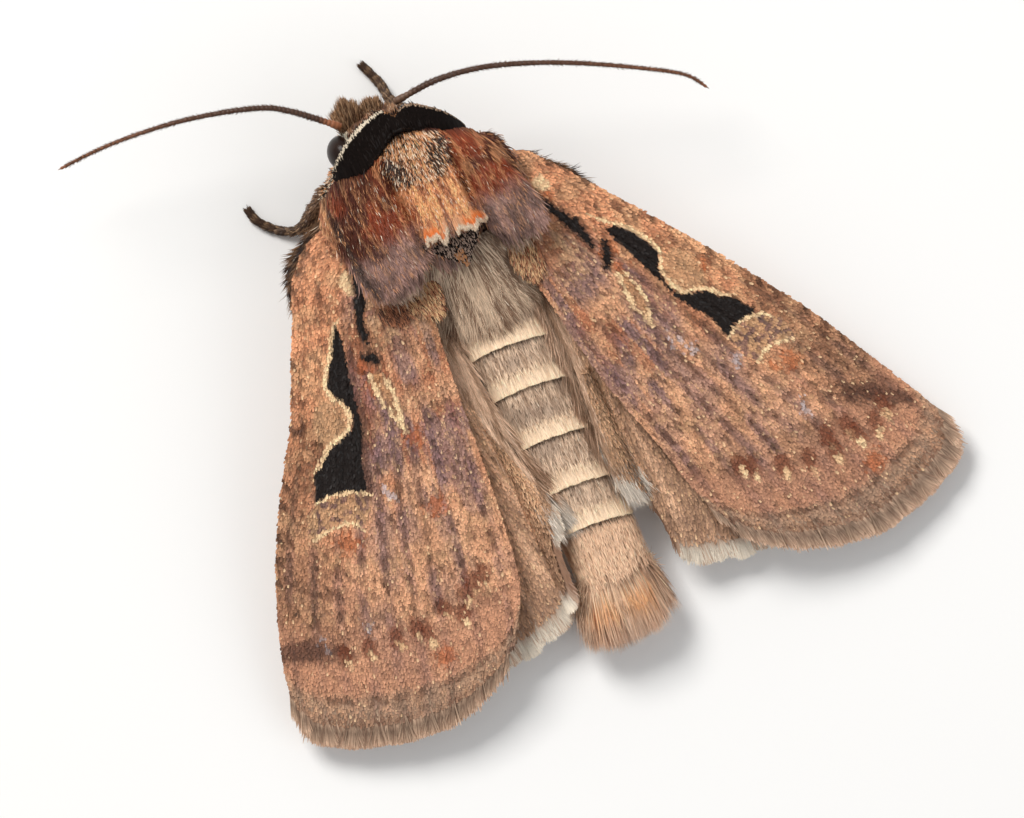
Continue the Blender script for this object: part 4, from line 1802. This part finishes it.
# %% Root tufts and edge hair
ROOT_TUFTS = ((-1.65, -2.75, 0.45, 0.85), (2.0, -3.05, 0.5, 0.8), (-2.7, -2.85, 0.7, 0.35))
EDGE_HAIR = {
    "left": ((-3.7, 0.75), (-4.25, 0.3), (-4.9, -0.1), (-5.3, -0.6), (-5.55, -1.2)),
    "right": ((2.95, 0.1), (3.3, -0.3), (3.7, -0.75), (4.1, -1.2), (4.4, -1.6)),
}
EDGE_STEPS = 200
EDGE_COUNT = 2400
PALE_GOLD = colour(236, 196, 146)
EDGE_BROWN = colour(120, 90, 66)


def wing_top(x, y):
    return 4.22 + roof(x, y)


def under_edge(x, y):
    return wing_top(x, y) - 0.66


def gold_tufts(x, y, steps, rng):
    pale = rng.random(len(x)) * (0.45 + 0.55 * step(2.6, 2.1, np.abs(x)))
    tip = blend(RUSSET * 1.2, PALE_GOLD, step(0.3, 0.9, pale))
    return tipped(UMBER * 0.5, np.where((pale < 0.2)[:, None], UMBER * 0.7, tip), 0.2, 0.75, steps)


def edge_tone(x, y):
    return blend(EDGE_BROWN, SOOT, step(0.4, 0.7, grain(x, y, 146, 0.2)))


for number, (x, y, half_x, half_y) in enumerate(ROOT_TUFTS):
    roots = spread_roots(
        2400, (x - half_x, y - half_y), (x + half_x, y + half_y),
        lambda a, b: np.hypot((a - x) / half_x, (b - y) / half_y) < 1.0, 140 + number,
    )
    comb(
        f"root_tuft_{number + 1}", roots, (-0.15 * np.sign(x), -1.0), 0.52, wing_top, gold_tufts, 0.034,
        "forewing_scales", 144, sink=0.08, lift=0.07, profile=NEEDLE_SHAPE, uneven=0.3,
    )

for side, route in EDGE_HAIR.items():
    rng = np.random.default_rng(145)
    curve = spline(route, EDGE_STEPS)
    index = rng.integers(0, EDGE_STEPS - 1, EDGE_COUNT)
    way = unit(np.gradient(curve, axis=0))[index]
    out = np.column_stack([-way[:, 1], way[:, 0]]) * (-1.0 if side == "left" else 1.0)
    roots = curve[index] + out * rng.uniform(-0.4, -0.05, EDGE_COUNT)[:, None]
    comb(
        f"edge_hair_{side}", roots, way + 0.28 * out, 0.8, under_edge, from_tip(edge_tone), 0.034,
        "thorax_hair", 147, uneven=0.3, curl=0.12,
    )

# %% [markdown]
# ## Collar
# The collar is a fan of black velvet hair. Its last row ends in an even edge of cream, notched over
# the middle of the head, and set with fine teeth. At its left end the cream reaches further down.

# %% Collar hair
COLLAR_STEPS = np.array((0.0, 0.4, 0.75, 0.86, 0.89, 1.0))
COLLAR_SHAPE = (0.7, 1.0, 1.0, 0.95, 0.9, 0.3)


def cream_edge(tones, x, rng):
    count = len(x)
    cream = MILK * rng.uniform(0.7, 1.0, count)[:, None]
    cream = blend(cream, STRAND * 0.7, 0.6 * step(-0.1, 0.25, x))
    cream[np.abs(x + 0.05) < 0.22] = STRAND * 0.6
    tones[:, -1] = cream
    bright = (x < -0.25) | (rng.random(count) < 0.3)
    tones[bright, -2] = cream[bright]
    left = (x < -2.1) & (rng.random(count) < 0.75)
    tones[left, -3] = cream[left] * 0.9
    tones[left, -4] = cream[left] * 0.5


def collar_fan(name, count, v_low, v_high, width, seed, edge):
    """Hair that fans over the collar from v_low to v_high. With edge it ends in the cream rim."""
    rng = np.random.default_rng(seed)
    x = COLLAR_X + COLLAR_HALF * 0.992 * np.sin(rng.uniform(-1.0, 1.0, count) * 1.5)
    v = rng.uniform(v_low, v_high, count)
    rear, rim = collar_rear(x) - 0.12, collar_rim(x)
    y = rear + (rim - rear) * v
    reach = (rim - y) if edge else np.minimum(0.45, rim - y)
    reach = reach * rng.uniform(0.97, 1.02, count)
    if edge:
        reach = reach + 0.018 * np.sin(x * 70.0) + 0.012 * np.sin(x * 31.0)
    t = COLLAR_STEPS[None, :]
    px, py = x[:, None] + 0.0 * t, y[:, None] + reach[:, None] * t
    pv = np.clip((py - rear[:, None]) / (rim - rear)[:, None], 0.0, 1.1)
    pz = collar_height(px, pv) - 0.14 * (1.0 - t) - 0.02 + 0.05 * t
    pz = pz - rng.uniform(0.0, 0.05, count)[:, None]
    path = np.stack([px, py, pz], axis=2)
    lean = (x - COLLAR_X) / COLLAR_HALF
    side = unit(np.column_stack([np.sqrt(1.0 - lean**2) + 0.05, rng.normal(0.0, 0.12, count), -lean]))
    black = INK * 0.75 * rng.uniform(0.7, 1.3, count)[:, None]
    tones = np.repeat(black[:, None, :], len(COLLAR_STEPS), axis=1)
    if edge:
        cream_edge(tones, x, rng)
    width = width * rng.uniform(0.8, 1.2, count)
    vanes(
        name, path, side, width, COLLAR_SHAPE, tones, unrolled(path[:, 0]), velvet_hair, "collar_scales"
    )


collar_fan("collar_hair", 5200, -0.05, 0.85, 0.055, 94, False)
collar_fan("collar_edge", 2600, 0.15, 0.5, 0.05, 95, True)

# %% [markdown]
# The left end of the collar is set with the same speckled scales as the front of the crest.

# %% Speckled end of the collar
SPECKLES_FROM = np.array((-3.2, 1.2))
SPECKLES_TO = np.array((-2.35, 1.98))
SPECKLES_COUNT = 700


def collar_end_height(x, y):
    return collar_height(np.clip(x, -2.95, 1.95), 0.9)


rng = np.random.default_rng(148)
roots = SPECKLES_FROM + (SPECKLES_TO - SPECKLES_FROM) * rng.random(SPECKLES_COUNT)[:, None]
roots = roots + np.array((0.7, -0.7)) * rng.uniform(-0.12, 0.14, SPECKLES_COUNT)[:, None]
comb(
    "collar_speckles", roots, (-0.8, -0.15), 0.24, collar_end_height, speckles, 0.045, "collar_scales",
    149, sink=0.06, lift=0.03, profile=NEEDLE_SHAPE, stray=0.3,
)

# %% [markdown]
# ## Eyes
# An insect's eye is a dark, glossy dome of many fine facets. Half a ball sits against the flat side
# of the head, and a fine cell pattern in its bump stands for the facets.

# %% Make the eyes
EYE_MIDDLE = {"left": (-2.06, 2.33, 3.12), "right": (0.36, 2.33, 3.12)}
EYE_HALF = (0.56, 0.62, 0.72)
FACET = 0.035
MOTTLE = 0.4


def eye_material():
    made, tree, shader = new_material("eye_gloss", {
        "Roughness": 0.3, "Specular IOR Level": 0.16, "Coat Weight": 0.05, "Coat Roughness": 0.15,
    })
    place = add_node(tree, "TexCoord")
    cells = add_node(tree, "TexVoronoi", {"Scale": 1.0 / (FACET * MM)})
    mottle = add_node(tree, "TexNoise", {"Scale": 1.0 / (MOTTLE * MM)})
    ramp = add_node(tree, "ValToRGB")
    ramp.color_ramp.elements[0].color = (*colour(24, 16, 14), 1.0)
    ramp.color_ramp.elements[1].color = (*colour(50, 34, 28), 1.0)
    bump = add_node(tree, "Bump", {"Strength": 0.25, "Distance": 0.01 * MM})
    wire(
        tree,
        (place, "Object", cells, "Vector"),
        (place, "Object", mottle, "Vector"),
        (mottle, "Fac", ramp, "Fac"),
        (ramp, "Color", shader, "Base Color"),
        (cells, "Distance", bump, "Height"),
        (bump, "Normal", shader, "Normal"),
    )
    return made


def bmesh_piece(name, shape, material, slot):
    """Writes a bmesh drawn in mm of the drawing as a piece."""
    bmesh.ops.recalc_face_normals(shape, faces=shape.faces)
    to_frame(shape)
    mesh = mesh_from(name, shape, material)
    mesh.shade_smooth()
    return place_piece(name, mesh, slot)


eye_gloss = eye_material()
for side, middle in EYE_MIDDLE.items():
    shape = bmesh.new()
    bmesh.ops.create_uvsphere(shape, u_segments=40, v_segments=24, radius=1.0)
    bmesh.ops.scale(shape, verts=shape.verts, vec=EYE_HALF)
    bmesh.ops.translate(shape, verts=shape.verts, vec=middle)
    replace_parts(bmesh_piece(f"eye_dome_{side}", shape, eye_gloss, "eye"), f"eye_{side}")

# %% [markdown]
# ## Limbs
# Palps, antennae and legs are tubes along a curve, clothed in hair that lies towards their tips. A
# tube and its hair share one map: the place along the limb, and the angle round it.

# %% Tubes along a curve and their hair
LIMB_FLOOR = 0.04
LIMB_STEPS = 400
ROUND = 6.6


def frames(curve):
    """Along a curve: the way ahead, a level side and a rise at each place."""
    ahead = unit(np.gradient(curve, axis=0))
    side = unit(np.cross(ahead, UP))
    return ahead, side, np.cross(side, ahead)


def tube(name, route, radius, material, slot, tones, around=12, floor=False):
    """A closed limb along a curve, with its half thickness and its colour at each ring."""
    rings = len(radius)
    curve = spline(route, rings)
    _, side, rise = frames(curve)
    shape = bmesh.new()
    bmesh.ops.create_cone(shape, cap_ends=True, segments=around, radius1=1.0, radius2=1.0, depth=1.0)
    long_edges = [edge for edge in shape.edges if abs(edge.verts[0].co.z - edge.verts[1].co.z) > 0.5]
    bmesh.ops.subdivide_edges(shape, edges=long_edges, cuts=rings - 2, use_grid_fill=False)
    spots = []
    for vertex in shape.verts:
        ring = max(0, min(rings - 1, int(round((vertex.co.z + 0.5) * (rings - 1)))))
        angle = math.atan2(vertex.co.y, vertex.co.x)
        place = curve[ring] + (side[ring] * math.cos(angle) + rise[ring] * math.sin(angle)) * radius[ring]
        if floor:
            place[2] = max(place[2], 0.0)
        vertex.co = place
        spots.append((ring, angle))
    layer = shape.loops.layers.uv.new(MAP_NAME)
    shape.verts.index_update()
    for face in shape.faces:
        for loop in face.loops:
            ring, angle = spots[loop.vert.index]
            loop[layer].uv = (0.02 + 0.96 * ring / rings, 0.5 + angle / ROUND)
    piece = bmesh_piece(name, shape, material, slot)
    paint(piece.data, np.array([tones[ring] for ring, _ in spots]))
    return piece


def limb_hair(name, route, radius, count, toner, length, rise, width, seed, slot, low, high,
              forward=1.0, floor=False, bulk=None):
    """Hair all round a limb from low to high of its length. toner(share, rng) is its colour there,
    rise how far its tips stand off, forward how far it lies along the limb."""
    rng = np.random.default_rng(seed)
    curve = spline(route, LIMB_STEPS)
    share = rng.uniform(low, high, count)
    index = (share * (LIMB_STEPS - 1)).astype(int)
    ahead, side, rise_way = (ways[index] for ways in frames(curve))
    angle = rng.uniform(0.0, 2.0 * np.pi, count)
    out = side * np.cos(angle)[:, None] + rise_way * np.sin(angle)[:, None]
    thick = np.interp(share, np.linspace(0.0, 1.0, len(radius)), radius)
    roots = curve[index] + out * (thick * 0.9)[:, None]
    t = HAIR_STEPS[None, :, None]
    span = length * rng.uniform(0.7, 1.2, count)[:, None, None]
    stand = rise * rng.uniform(0.5, 1.3, count)
    if bulk is not None:
        stand = stand * bulk(share)
    way = unit(ahead * forward + rng.normal(0.0, 0.08, (count, 3)))
    path = roots[:, None, :] + way[:, None, :] * span * t
    path = path + out[:, None, :] * (stand[:, None, None] * (1.0 - (1.0 - t) ** 2))
    if floor:
        path[:, :, 2] = np.maximum(path[:, :, 2], LIMB_FLOOR)
    beside = unit(np.cross(way, out) + out * rng.normal(0.0, 0.3, count)[:, None])
    tones = toner(share, rng)[:, None, :] * (0.75 + 0.35 * t)
    places = np.column_stack([0.02 + 0.96 * share, 0.5 + np.angle(np.exp(1j * angle)) / ROUND])
    width = width * rng.uniform(0.7, 1.2, count)
    vanes(name, path, beside, width, HAIR_SHAPE, tones, places, silky_hair, slot)


# %% [markdown]
# ## Head and palps
# The palps are two hairy feelers in front of the mouth: each is a short bent core with hair combed
# to its tip.

# %% Palps
PALPS = {
    "left": (
        (-1.25, 2.6, 1.75), (-1.3, 3.05, 2.05), (-1.38, 3.35, 2.6), (-1.4, 3.5, 3.0), (-1.4, 3.6, 3.2),
    ),
    "right": (
        (-0.45, 2.6, 1.75), (-0.48, 2.95, 2.05), (-0.55, 3.15, 2.5), (-0.58, 3.25, 2.8), (-0.6, 3.3, 3.0),
    ),
}
PALP_CORE = np.interp(np.linspace(0, 1, 60), (0.0, 0.5, 1.0), (0.2, 0.2, 0.08))
PALP_BROWN = colour(132, 92, 62)
PALP_PALE = colour(222, 182, 142)
PALP_DARK = colour(64, 42, 32)


def palp_tone(share, rng):
    count = len(share)
    tone = blend(PALP_BROWN, PALP_PALE, rng.random(count) ** 1.5)
    return blend(tone, PALP_DARK, 0.8 * step(0.45, 0.7, rng.random(count)))


for side, route in PALPS.items():
    tones = np.tile(UMBER * 0.8, (len(PALP_CORE), 1))
    piece = tube(f"palp_core_{side}", route, PALP_CORE, body_skin, "head_hair", tones)
    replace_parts(piece, f"palp_{side}")
    limb_hair(
        f"palp_hair_{side}", route, PALP_CORE, 2200, palp_tone, 0.3, 0.12, 0.035, 101, "head_hair",
        0.1, 0.9,
    )

# %% [markdown]
# Above each palp its hair spreads into a fan with a ragged front edge, and the left fan reaches
# further forward. Each fan goes from a root to a tip, with its half width and how far its sides
# stay back.

# %% Fans of the palps
PALP_FANS = {
    "left": ((-1.5, 2.75, 3.0), (-1.42, 3.98, 3.35), 0.44, 0.35),
    "right": ((-0.66, 2.7, 2.8), (-0.62, 3.6, 3.05), 0.36, 0.12),
}
FAN_DARK = colour(70, 46, 34)
FAN_PALE = colour(176, 138, 104)


def palp_fan(side, root, tip, half_width, peak, count=2600):
    rng = np.random.default_rng(102)
    across = rng.uniform(-1.0, 1.0, count)
    depth = rng.uniform(-1.0, 1.0, count)
    level = np.zeros(count)
    back = rng.uniform(0.0, 0.5, count)
    start = root + np.column_stack([0.6 * half_width * across, back, 0.35 * depth])
    wander = half_width * (across + 0.5 * grain(across * 5.0, depth * 3.0, 110) - 0.25)
    wander = wander + rng.normal(0.0, 0.07, count)
    short = peak * np.abs(across) ** 1.5 + 0.75 * rng.random(count) ** 1.6
    short = short - 0.3 * grain(across * 4.0, depth * 2.0, 113) + 0.08
    end = tip + np.column_stack([wander, -short, 0.3 * depth + rng.normal(0.0, 0.06, count)])
    middle = (start + end) / 2.0 + np.column_stack([0.2 * half_width * across, level, level + 0.12])
    beside = unit(np.column_stack([level + 1.0, level, rng.normal(0.0, 0.5, count)]))
    streak = grain(across * 7.0, depth * 5.0, 112)
    tones = layered(
        palp_tone(across, rng) * rng.uniform(0.6, 1.3, count)[:, None],
        (FAN_DARK, 0.6 * step(0.5, 0.7, streak)),
        (FAN_PALE, 0.6 * step(0.75, 0.95, rng.random(count))),
    )
    tones = tones[:, None, :] * (0.5 + 0.75 * HAIR_STEPS)[None, :, None]
    vanes(
        f"palp_fan_{side}", bezier(start, middle, end, HAIR_STEPS), beside,
        0.034 * rng.uniform(0.7, 1.2, count), HAIR_SHAPE, tones, unrolled(start), silky_hair, "head_hair",
    )


for side, numbers in PALP_FANS.items():
    palp_fan(side, *numbers)

# %% [markdown]
# Between the eyes the head carries rough tan and brown hair that points forward. A cream patch lies
# between the left eye and the root of its antenna.

# %% Hair of the head
HEAD_X = -0.85
HEAD_TAN = colour(150, 112, 82)
HEAD_DARK = colour(88, 58, 42)


def head_top(x, y):
    side = np.clip(np.abs(x - HEAD_X) / 1.25, 0.0, 1.0)
    return 4.1 - 0.55 * side**2.5 - 0.9 * np.clip(y - 2.2, 0.0, 1.0) ** 2


def head_tone(x, y):
    cream = step(0.35, 0.2, np.hypot((x + 1.86) / 0.7, (y - 2.85) / 1.1))
    return layered(
        blend(HEAD_TAN, HEAD_DARK, step(0.35, 0.7, grain(x, y, 103, 0.2))),
        (MILK, cream),
    )


def on_head(x, y):
    return np.hypot((x - HEAD_X) / 1.15, (y - 2.3) / 0.75) < 1.0


roots = spread_roots(5200, (-1.95, 2.0), (0.3, 3.0), on_head, 104)
comb(
    "head_hair", roots, fanned(roots, 0.15, HEAD_X, 1.0), 0.42, head_top,
    from_tip(head_tone, 0.7, 1.25, 0.35, 0.06), 0.04, "head_hair", 105, sink=0.15, lift=0.12, curl=0.15,
)

# %% [markdown]
# ## Antennae
# A moth's antenna is a thread of about seventy short segments that thins to its tip. A tube along
# the antenna's curve swells a little at every segment. Its lowest segment, the scape, is stout,
# orange on the left and brown on the right. The rest is dark brown and lightens towards the tip.
# Tiny bristles all round it give its edge a finely toothed look.

# %% Make the antennae
ANTENNAE = {
    "left": (
        (-1.78, 3.15, 4.1), (-3.05, 4.3, 4.5), (-4.04, 4.89, 4.6), (-6.0, 5.48, 4.5), (-7.79, 5.8, 4.2),
        (-9.4, 5.93, 3.8), (-10.88, 5.91, 3.4),
    ),
    "right": (
        (0.2, 3.12, 4.15), (1.86, 3.16, 4.6), (3.64, 2.79, 4.6), (5.79, 1.89, 4.3), (7.93, 0.7, 3.7),
        (9.3, -0.2, 3.2), (9.84, -0.96, 2.9),
    ),
}
ANTENNA_RINGS = 281
RINGS_A_SEGMENT = 4
SCAPE_TONES = {"left": colour(150, 92, 60), "right": colour(104, 76, 58)}
THREAD_DARK = colour(78, 54, 42)
THREAD_PALE = colour(138, 86, 58)
BRISTLE = colour(96, 64, 46)
horn = coat_material("antenna_horn", 0.05, 0.2, 0.45, 0.4, specular=0.4)


def bristle_tone(share, rng):
    return np.tile(BRISTLE, (len(share), 1))


for side, route in ANTENNAE.items():
    share = np.linspace(0.0, 1.0, ANTENNA_RINGS)
    ring = np.arange(ANTENNA_RINGS)
    swell = 1.0 + 0.13 * np.cos(2.0 * np.pi * ring / RINGS_A_SEGMENT)
    thread = (0.112 - 0.062 * share**0.9) * swell * step(1.0, 0.985, share)
    scape = 0.135 * step(0.0, 0.006, share) * step(0.05, 0.03, share)
    tones = layered(
        blend(THREAD_DARK, THREAD_PALE, step(0.3, 1.0, share)),
        (SCAPE_TONES[side], step(0.09, 0.04, share)),
    )
    tones = tones * (0.82 + 0.28 * (ring % RINGS_A_SEGMENT < 2))[:, None]
    radius = np.maximum(np.maximum(thread, scape), 0.012)
    piece = tube(f"antenna_thread_{side}", route, radius, horn, "antenna", tones, around=10)
    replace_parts(piece, f"antenna_{side}")
    limb_hair(
        f"antenna_bristles_{side}", route, thread, 2600, bristle_tone, 0.07, 0.05, 0.018, 111, "antenna",
        0.06, 0.97, forward=0.6,
    )

# %% [markdown]
# ## Legs
# The legs are clothed in close scales, darker than the body, with pale rings at the ends of the foot
# segments. The shins are thicker with hair and carry a pair of spurs. Each leg ends in two small
# claws. They stand on the floor, where the solids stand.

# %% Routes of the legs
FOOT = 0.15
LEGS = {
    "foreleg_left": (
        (-1.6, 0.6, 1.7), (-2.9, 1.35, 1.75), (-3.6, 1.15, 1.2), (-4.4, 0.72, 0.6), (-5.1, 0.95, 0.2),
        (-5.65, 1.55, FOOT), (-5.8, 2.07, FOOT),
    ),
    "foreleg_right": (
        (0.5, 0.6, 1.6), (0.75, 1.6, 1.3), (0.35, 2.6, 0.95), (0.1, 3.3, 0.55), (0.0, 4.0, 0.2),
        (-0.27, 4.8, FOOT),
    ),
    "midleg_left": (
        (-1.6, -0.5, 1.7), (-3.0, -1.1, 1.8), (-4.5, -3.0, 0.9), (-5.4, -4.3, FOOT), (-5.7, -5.6, FOOT),
    ),
    "midleg_right": (
        (1.1, -0.5, 1.7), (2.6, -1.1, 1.8), (4.1, -3.2, 0.9), (5.0, -4.6, FOOT), (5.3, -5.9, FOOT),
    ),
    "hindleg_left": (
        (-1.3, -1.4, 1.9), (-2.35, -2.2, 1.7), (-3.0, -4.0, 1.5), (-3.5, -6.5, 0.8), (-4.0, -8.4, FOOT),
        (-4.2, -10.6, FOOT),
    ),
    "hindleg_right": (
        (0.7, -1.4, 1.9), (2.0, -2.2, 1.7), (2.9, -4.0, 1.5), (3.5, -6.5, 0.8), (4.0, -8.4, FOOT),
        (4.3, -10.6, FOOT),
    ),
}
KNEE = 0.35
ANKLE = 0.62
TOES = 5.0
LEG_RINGS = 90
LEG_STEPS = 200
LEG_BROWN = colour(118, 88, 66)
LEG_DARK = colour(76, 56, 44)
LEG_RING = colour(150, 120, 92)
LEG_PALE = colour(184, 148, 112)
CLAW_BROWN = colour(70, 46, 34)


def foot_share(share):
    """How far along the foot a place is, and how far along its own segment of the foot."""
    foot = (share - ANKLE) / (1.0 - ANKLE)
    return foot, np.mod(foot * TOES, 1.0)


def leg_radius(share):
    foot, segment = foot_share(share)
    thigh = 0.26 - 0.06 * share / KNEE
    shin = 0.17 + 0.04 * np.sin(np.pi * np.clip((share - KNEE) / (ANKLE - KNEE), 0, 1))
    end = (0.12 - 0.03 * foot) * (0.88 + 0.2 * segment)
    radius = np.where(share < KNEE, thigh, np.where(share < ANKLE, shin, end))
    return radius * step(0.0, 0.03, share) * step(1.004, 0.985, share) + 0.01


def limb_tone(share):
    ring = step(0.7, 0.85, foot_share(share)[1]) * (share > ANKLE - 0.02)
    return layered(blend(LEG_BROWN, LEG_DARK, step(KNEE, ANKLE, share)), (LEG_RING, 0.6 * ring))


def leg_tone(share, rng):
    pale = step(0.75, 0.95, rng.random(len(share))) * step(0.95, ANKLE, share)
    return blend(limb_tone(share), LEG_PALE, 0.7 * pale) * rng.uniform(0.75, 1.2, len(share))[:, None]


def leg_bulk(share):
    return 1.0 + 2.2 * step(0.62, 0.3, share)


# %% [markdown]
# The claws and spurs are small cones, and all of them are one piece.

# %% Make the legs
def add_point(shape, root, tip, radius):
    """A claw or spur: a narrow cone from root to tip."""
    root, tip = Vector(root), Vector(tip)
    length = (tip - root).length
    made = bmesh.ops.create_cone(
        shape, cap_ends=True, segments=6, radius1=radius, radius2=0.004, depth=length
    )
    turn = (tip - root).to_track_quat("Z", "Y").to_matrix().to_4x4()
    bmesh.ops.transform(shape, matrix=turn, verts=made["verts"])
    bmesh.ops.translate(shape, verts=made["verts"], vec=(root + tip) / 2.0)


def add_claws(shape, route):
    """Two claws at the end of a leg and two spurs at its ankle."""
    curve = spline(route, LEG_STEPS)
    ahead, side, _ = frames(curve)
    ankle = int(ANKLE * (LEG_STEPS - 1))
    for sign in (-1.0, 1.0):
        out = side[-1] * sign
        add_point(
            shape, curve[-1] + out * 0.03,
            curve[-1] + ahead[-1] * 0.16 + out * 0.09 + np.array((0.0, 0.0, -0.1)), 0.022,
        )
        out = side[ankle] * sign
        tip = curve[ankle] + ahead[ankle] * 0.38 + out * 0.17
        tip[2] = max(tip[2], 0.03)
        add_point(shape, curve[ankle] + out * 0.1, tip, 0.035)


claws = bmesh.new()
for name, route in LEGS.items():
    share = np.linspace(0.0, 1.0, LEG_RINGS)
    radius = leg_radius(share)
    tones = limb_tone(share) * 0.8
    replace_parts(tube(f"{name}_limb", route, radius, body_skin, "leg_scales", tones, floor=True), name)
    limb_hair(
        f"{name}_scales", route, radius, 3900, leg_tone, 0.2, 0.05, 0.045, 121, "leg_scales", 0.02, 0.985,
        floor=True, bulk=leg_bulk,
    )
    add_claws(claws, route)
paint(bmesh_piece("claws_and_spurs", claws, horn, "leg_scales").data, CLAW_BROWN)

# %% [markdown]
# ## Tail tuft
# The abdomen ends in a full brush of soft hair, with two glowing orange patches near its root and
# paler tips. Its hairs spring from all over the end of the body, so the brush is as full below as
# above. Short hairs among the long ones keep it from showing a line where it starts.

# %% Make the tail tuft
TAIL_STEPS = np.array((0.0, 0.35, 0.7, 1.0))
TAIL_SHAPE = (0.8, 1.0, 0.8, 0.0)
TAIL_FLOOR = 0.35
TAIL_ROOT = colour(222, 184, 154)
TAIL_END = colour(200, 170, 148)
TAIL_TIP = colour(226, 200, 180)


def tail_tuft(count):
    rng = np.random.default_rng(131)
    angle = rng.uniform(-np.pi, np.pi, count)
    depth = np.sqrt(rng.uniform(0.05, 1.0, count))
    across, up = np.sin(angle) * depth, np.cos(angle) * depth
    start_y = -13.9 - 1.4 * rng.random(count) * (1.3 - depth)
    root = np.column_stack([-0.02 + 1.3 * across, start_y, 1.42 + 1.0 * up])
    locks = grain(across * 9.0, up * 3.0, 132)
    end_y = -16.85 + 0.5 * np.abs(across) ** 3 + 0.5 * locks + 0.9 * rng.random(count) ** 2
    spread = across * 1.74 + 0.3 * (grain(across * 14.0, up * 4.0, 133) - 0.5)
    spread = spread + rng.normal(0.0, 0.09, count)
    short = rng.random(count) < 0.4
    end_y = end_y + np.where(short, rng.uniform(0.3, 1.6, count), 0.0)
    tip = np.column_stack([-0.18 + spread, end_y, 1.22 + np.where(short, 0.95, 0.6) * up])
    middle = np.column_stack([-0.1 + 1.66 * across, 0.45 * start_y + 0.55 * end_y, 1.36 + 1.0 * up])
    path = bezier(root, middle, tip, TAIL_STEPS)
    path[:, :, 2] = np.maximum(path[:, :, 2], TAIL_FLOOR)
    out = unit(np.column_stack([across, 0.0 * across, up]) + 1e-6)
    beside = unit(np.cross(unit(tip - root), out) + out * rng.normal(0.0, 0.4, count)[:, None])
    early, late = (tail_tone(path[:, at, 0], path[:, at, 1]) for at in (1, 2))
    late = blend(late, TAIL_END, np.where(short, 0.1, 0.55))
    first = np.tile(TAIL_ROOT * 0.8, (count, 1))
    tones = np.stack([first, early, late, 0.6 * late + 0.4 * TAIL_TIP], axis=1)
    tones = tones * rng.uniform(0.75, 1.5, count)[:, None, None]
    width = 0.029 * rng.uniform(0.6, 1.3, count)
    vanes("tail_hair", path, beside, width, TAIL_SHAPE, tones, unrolled(root), silky_hair, "tail_hair")


tail_tuft(15000)
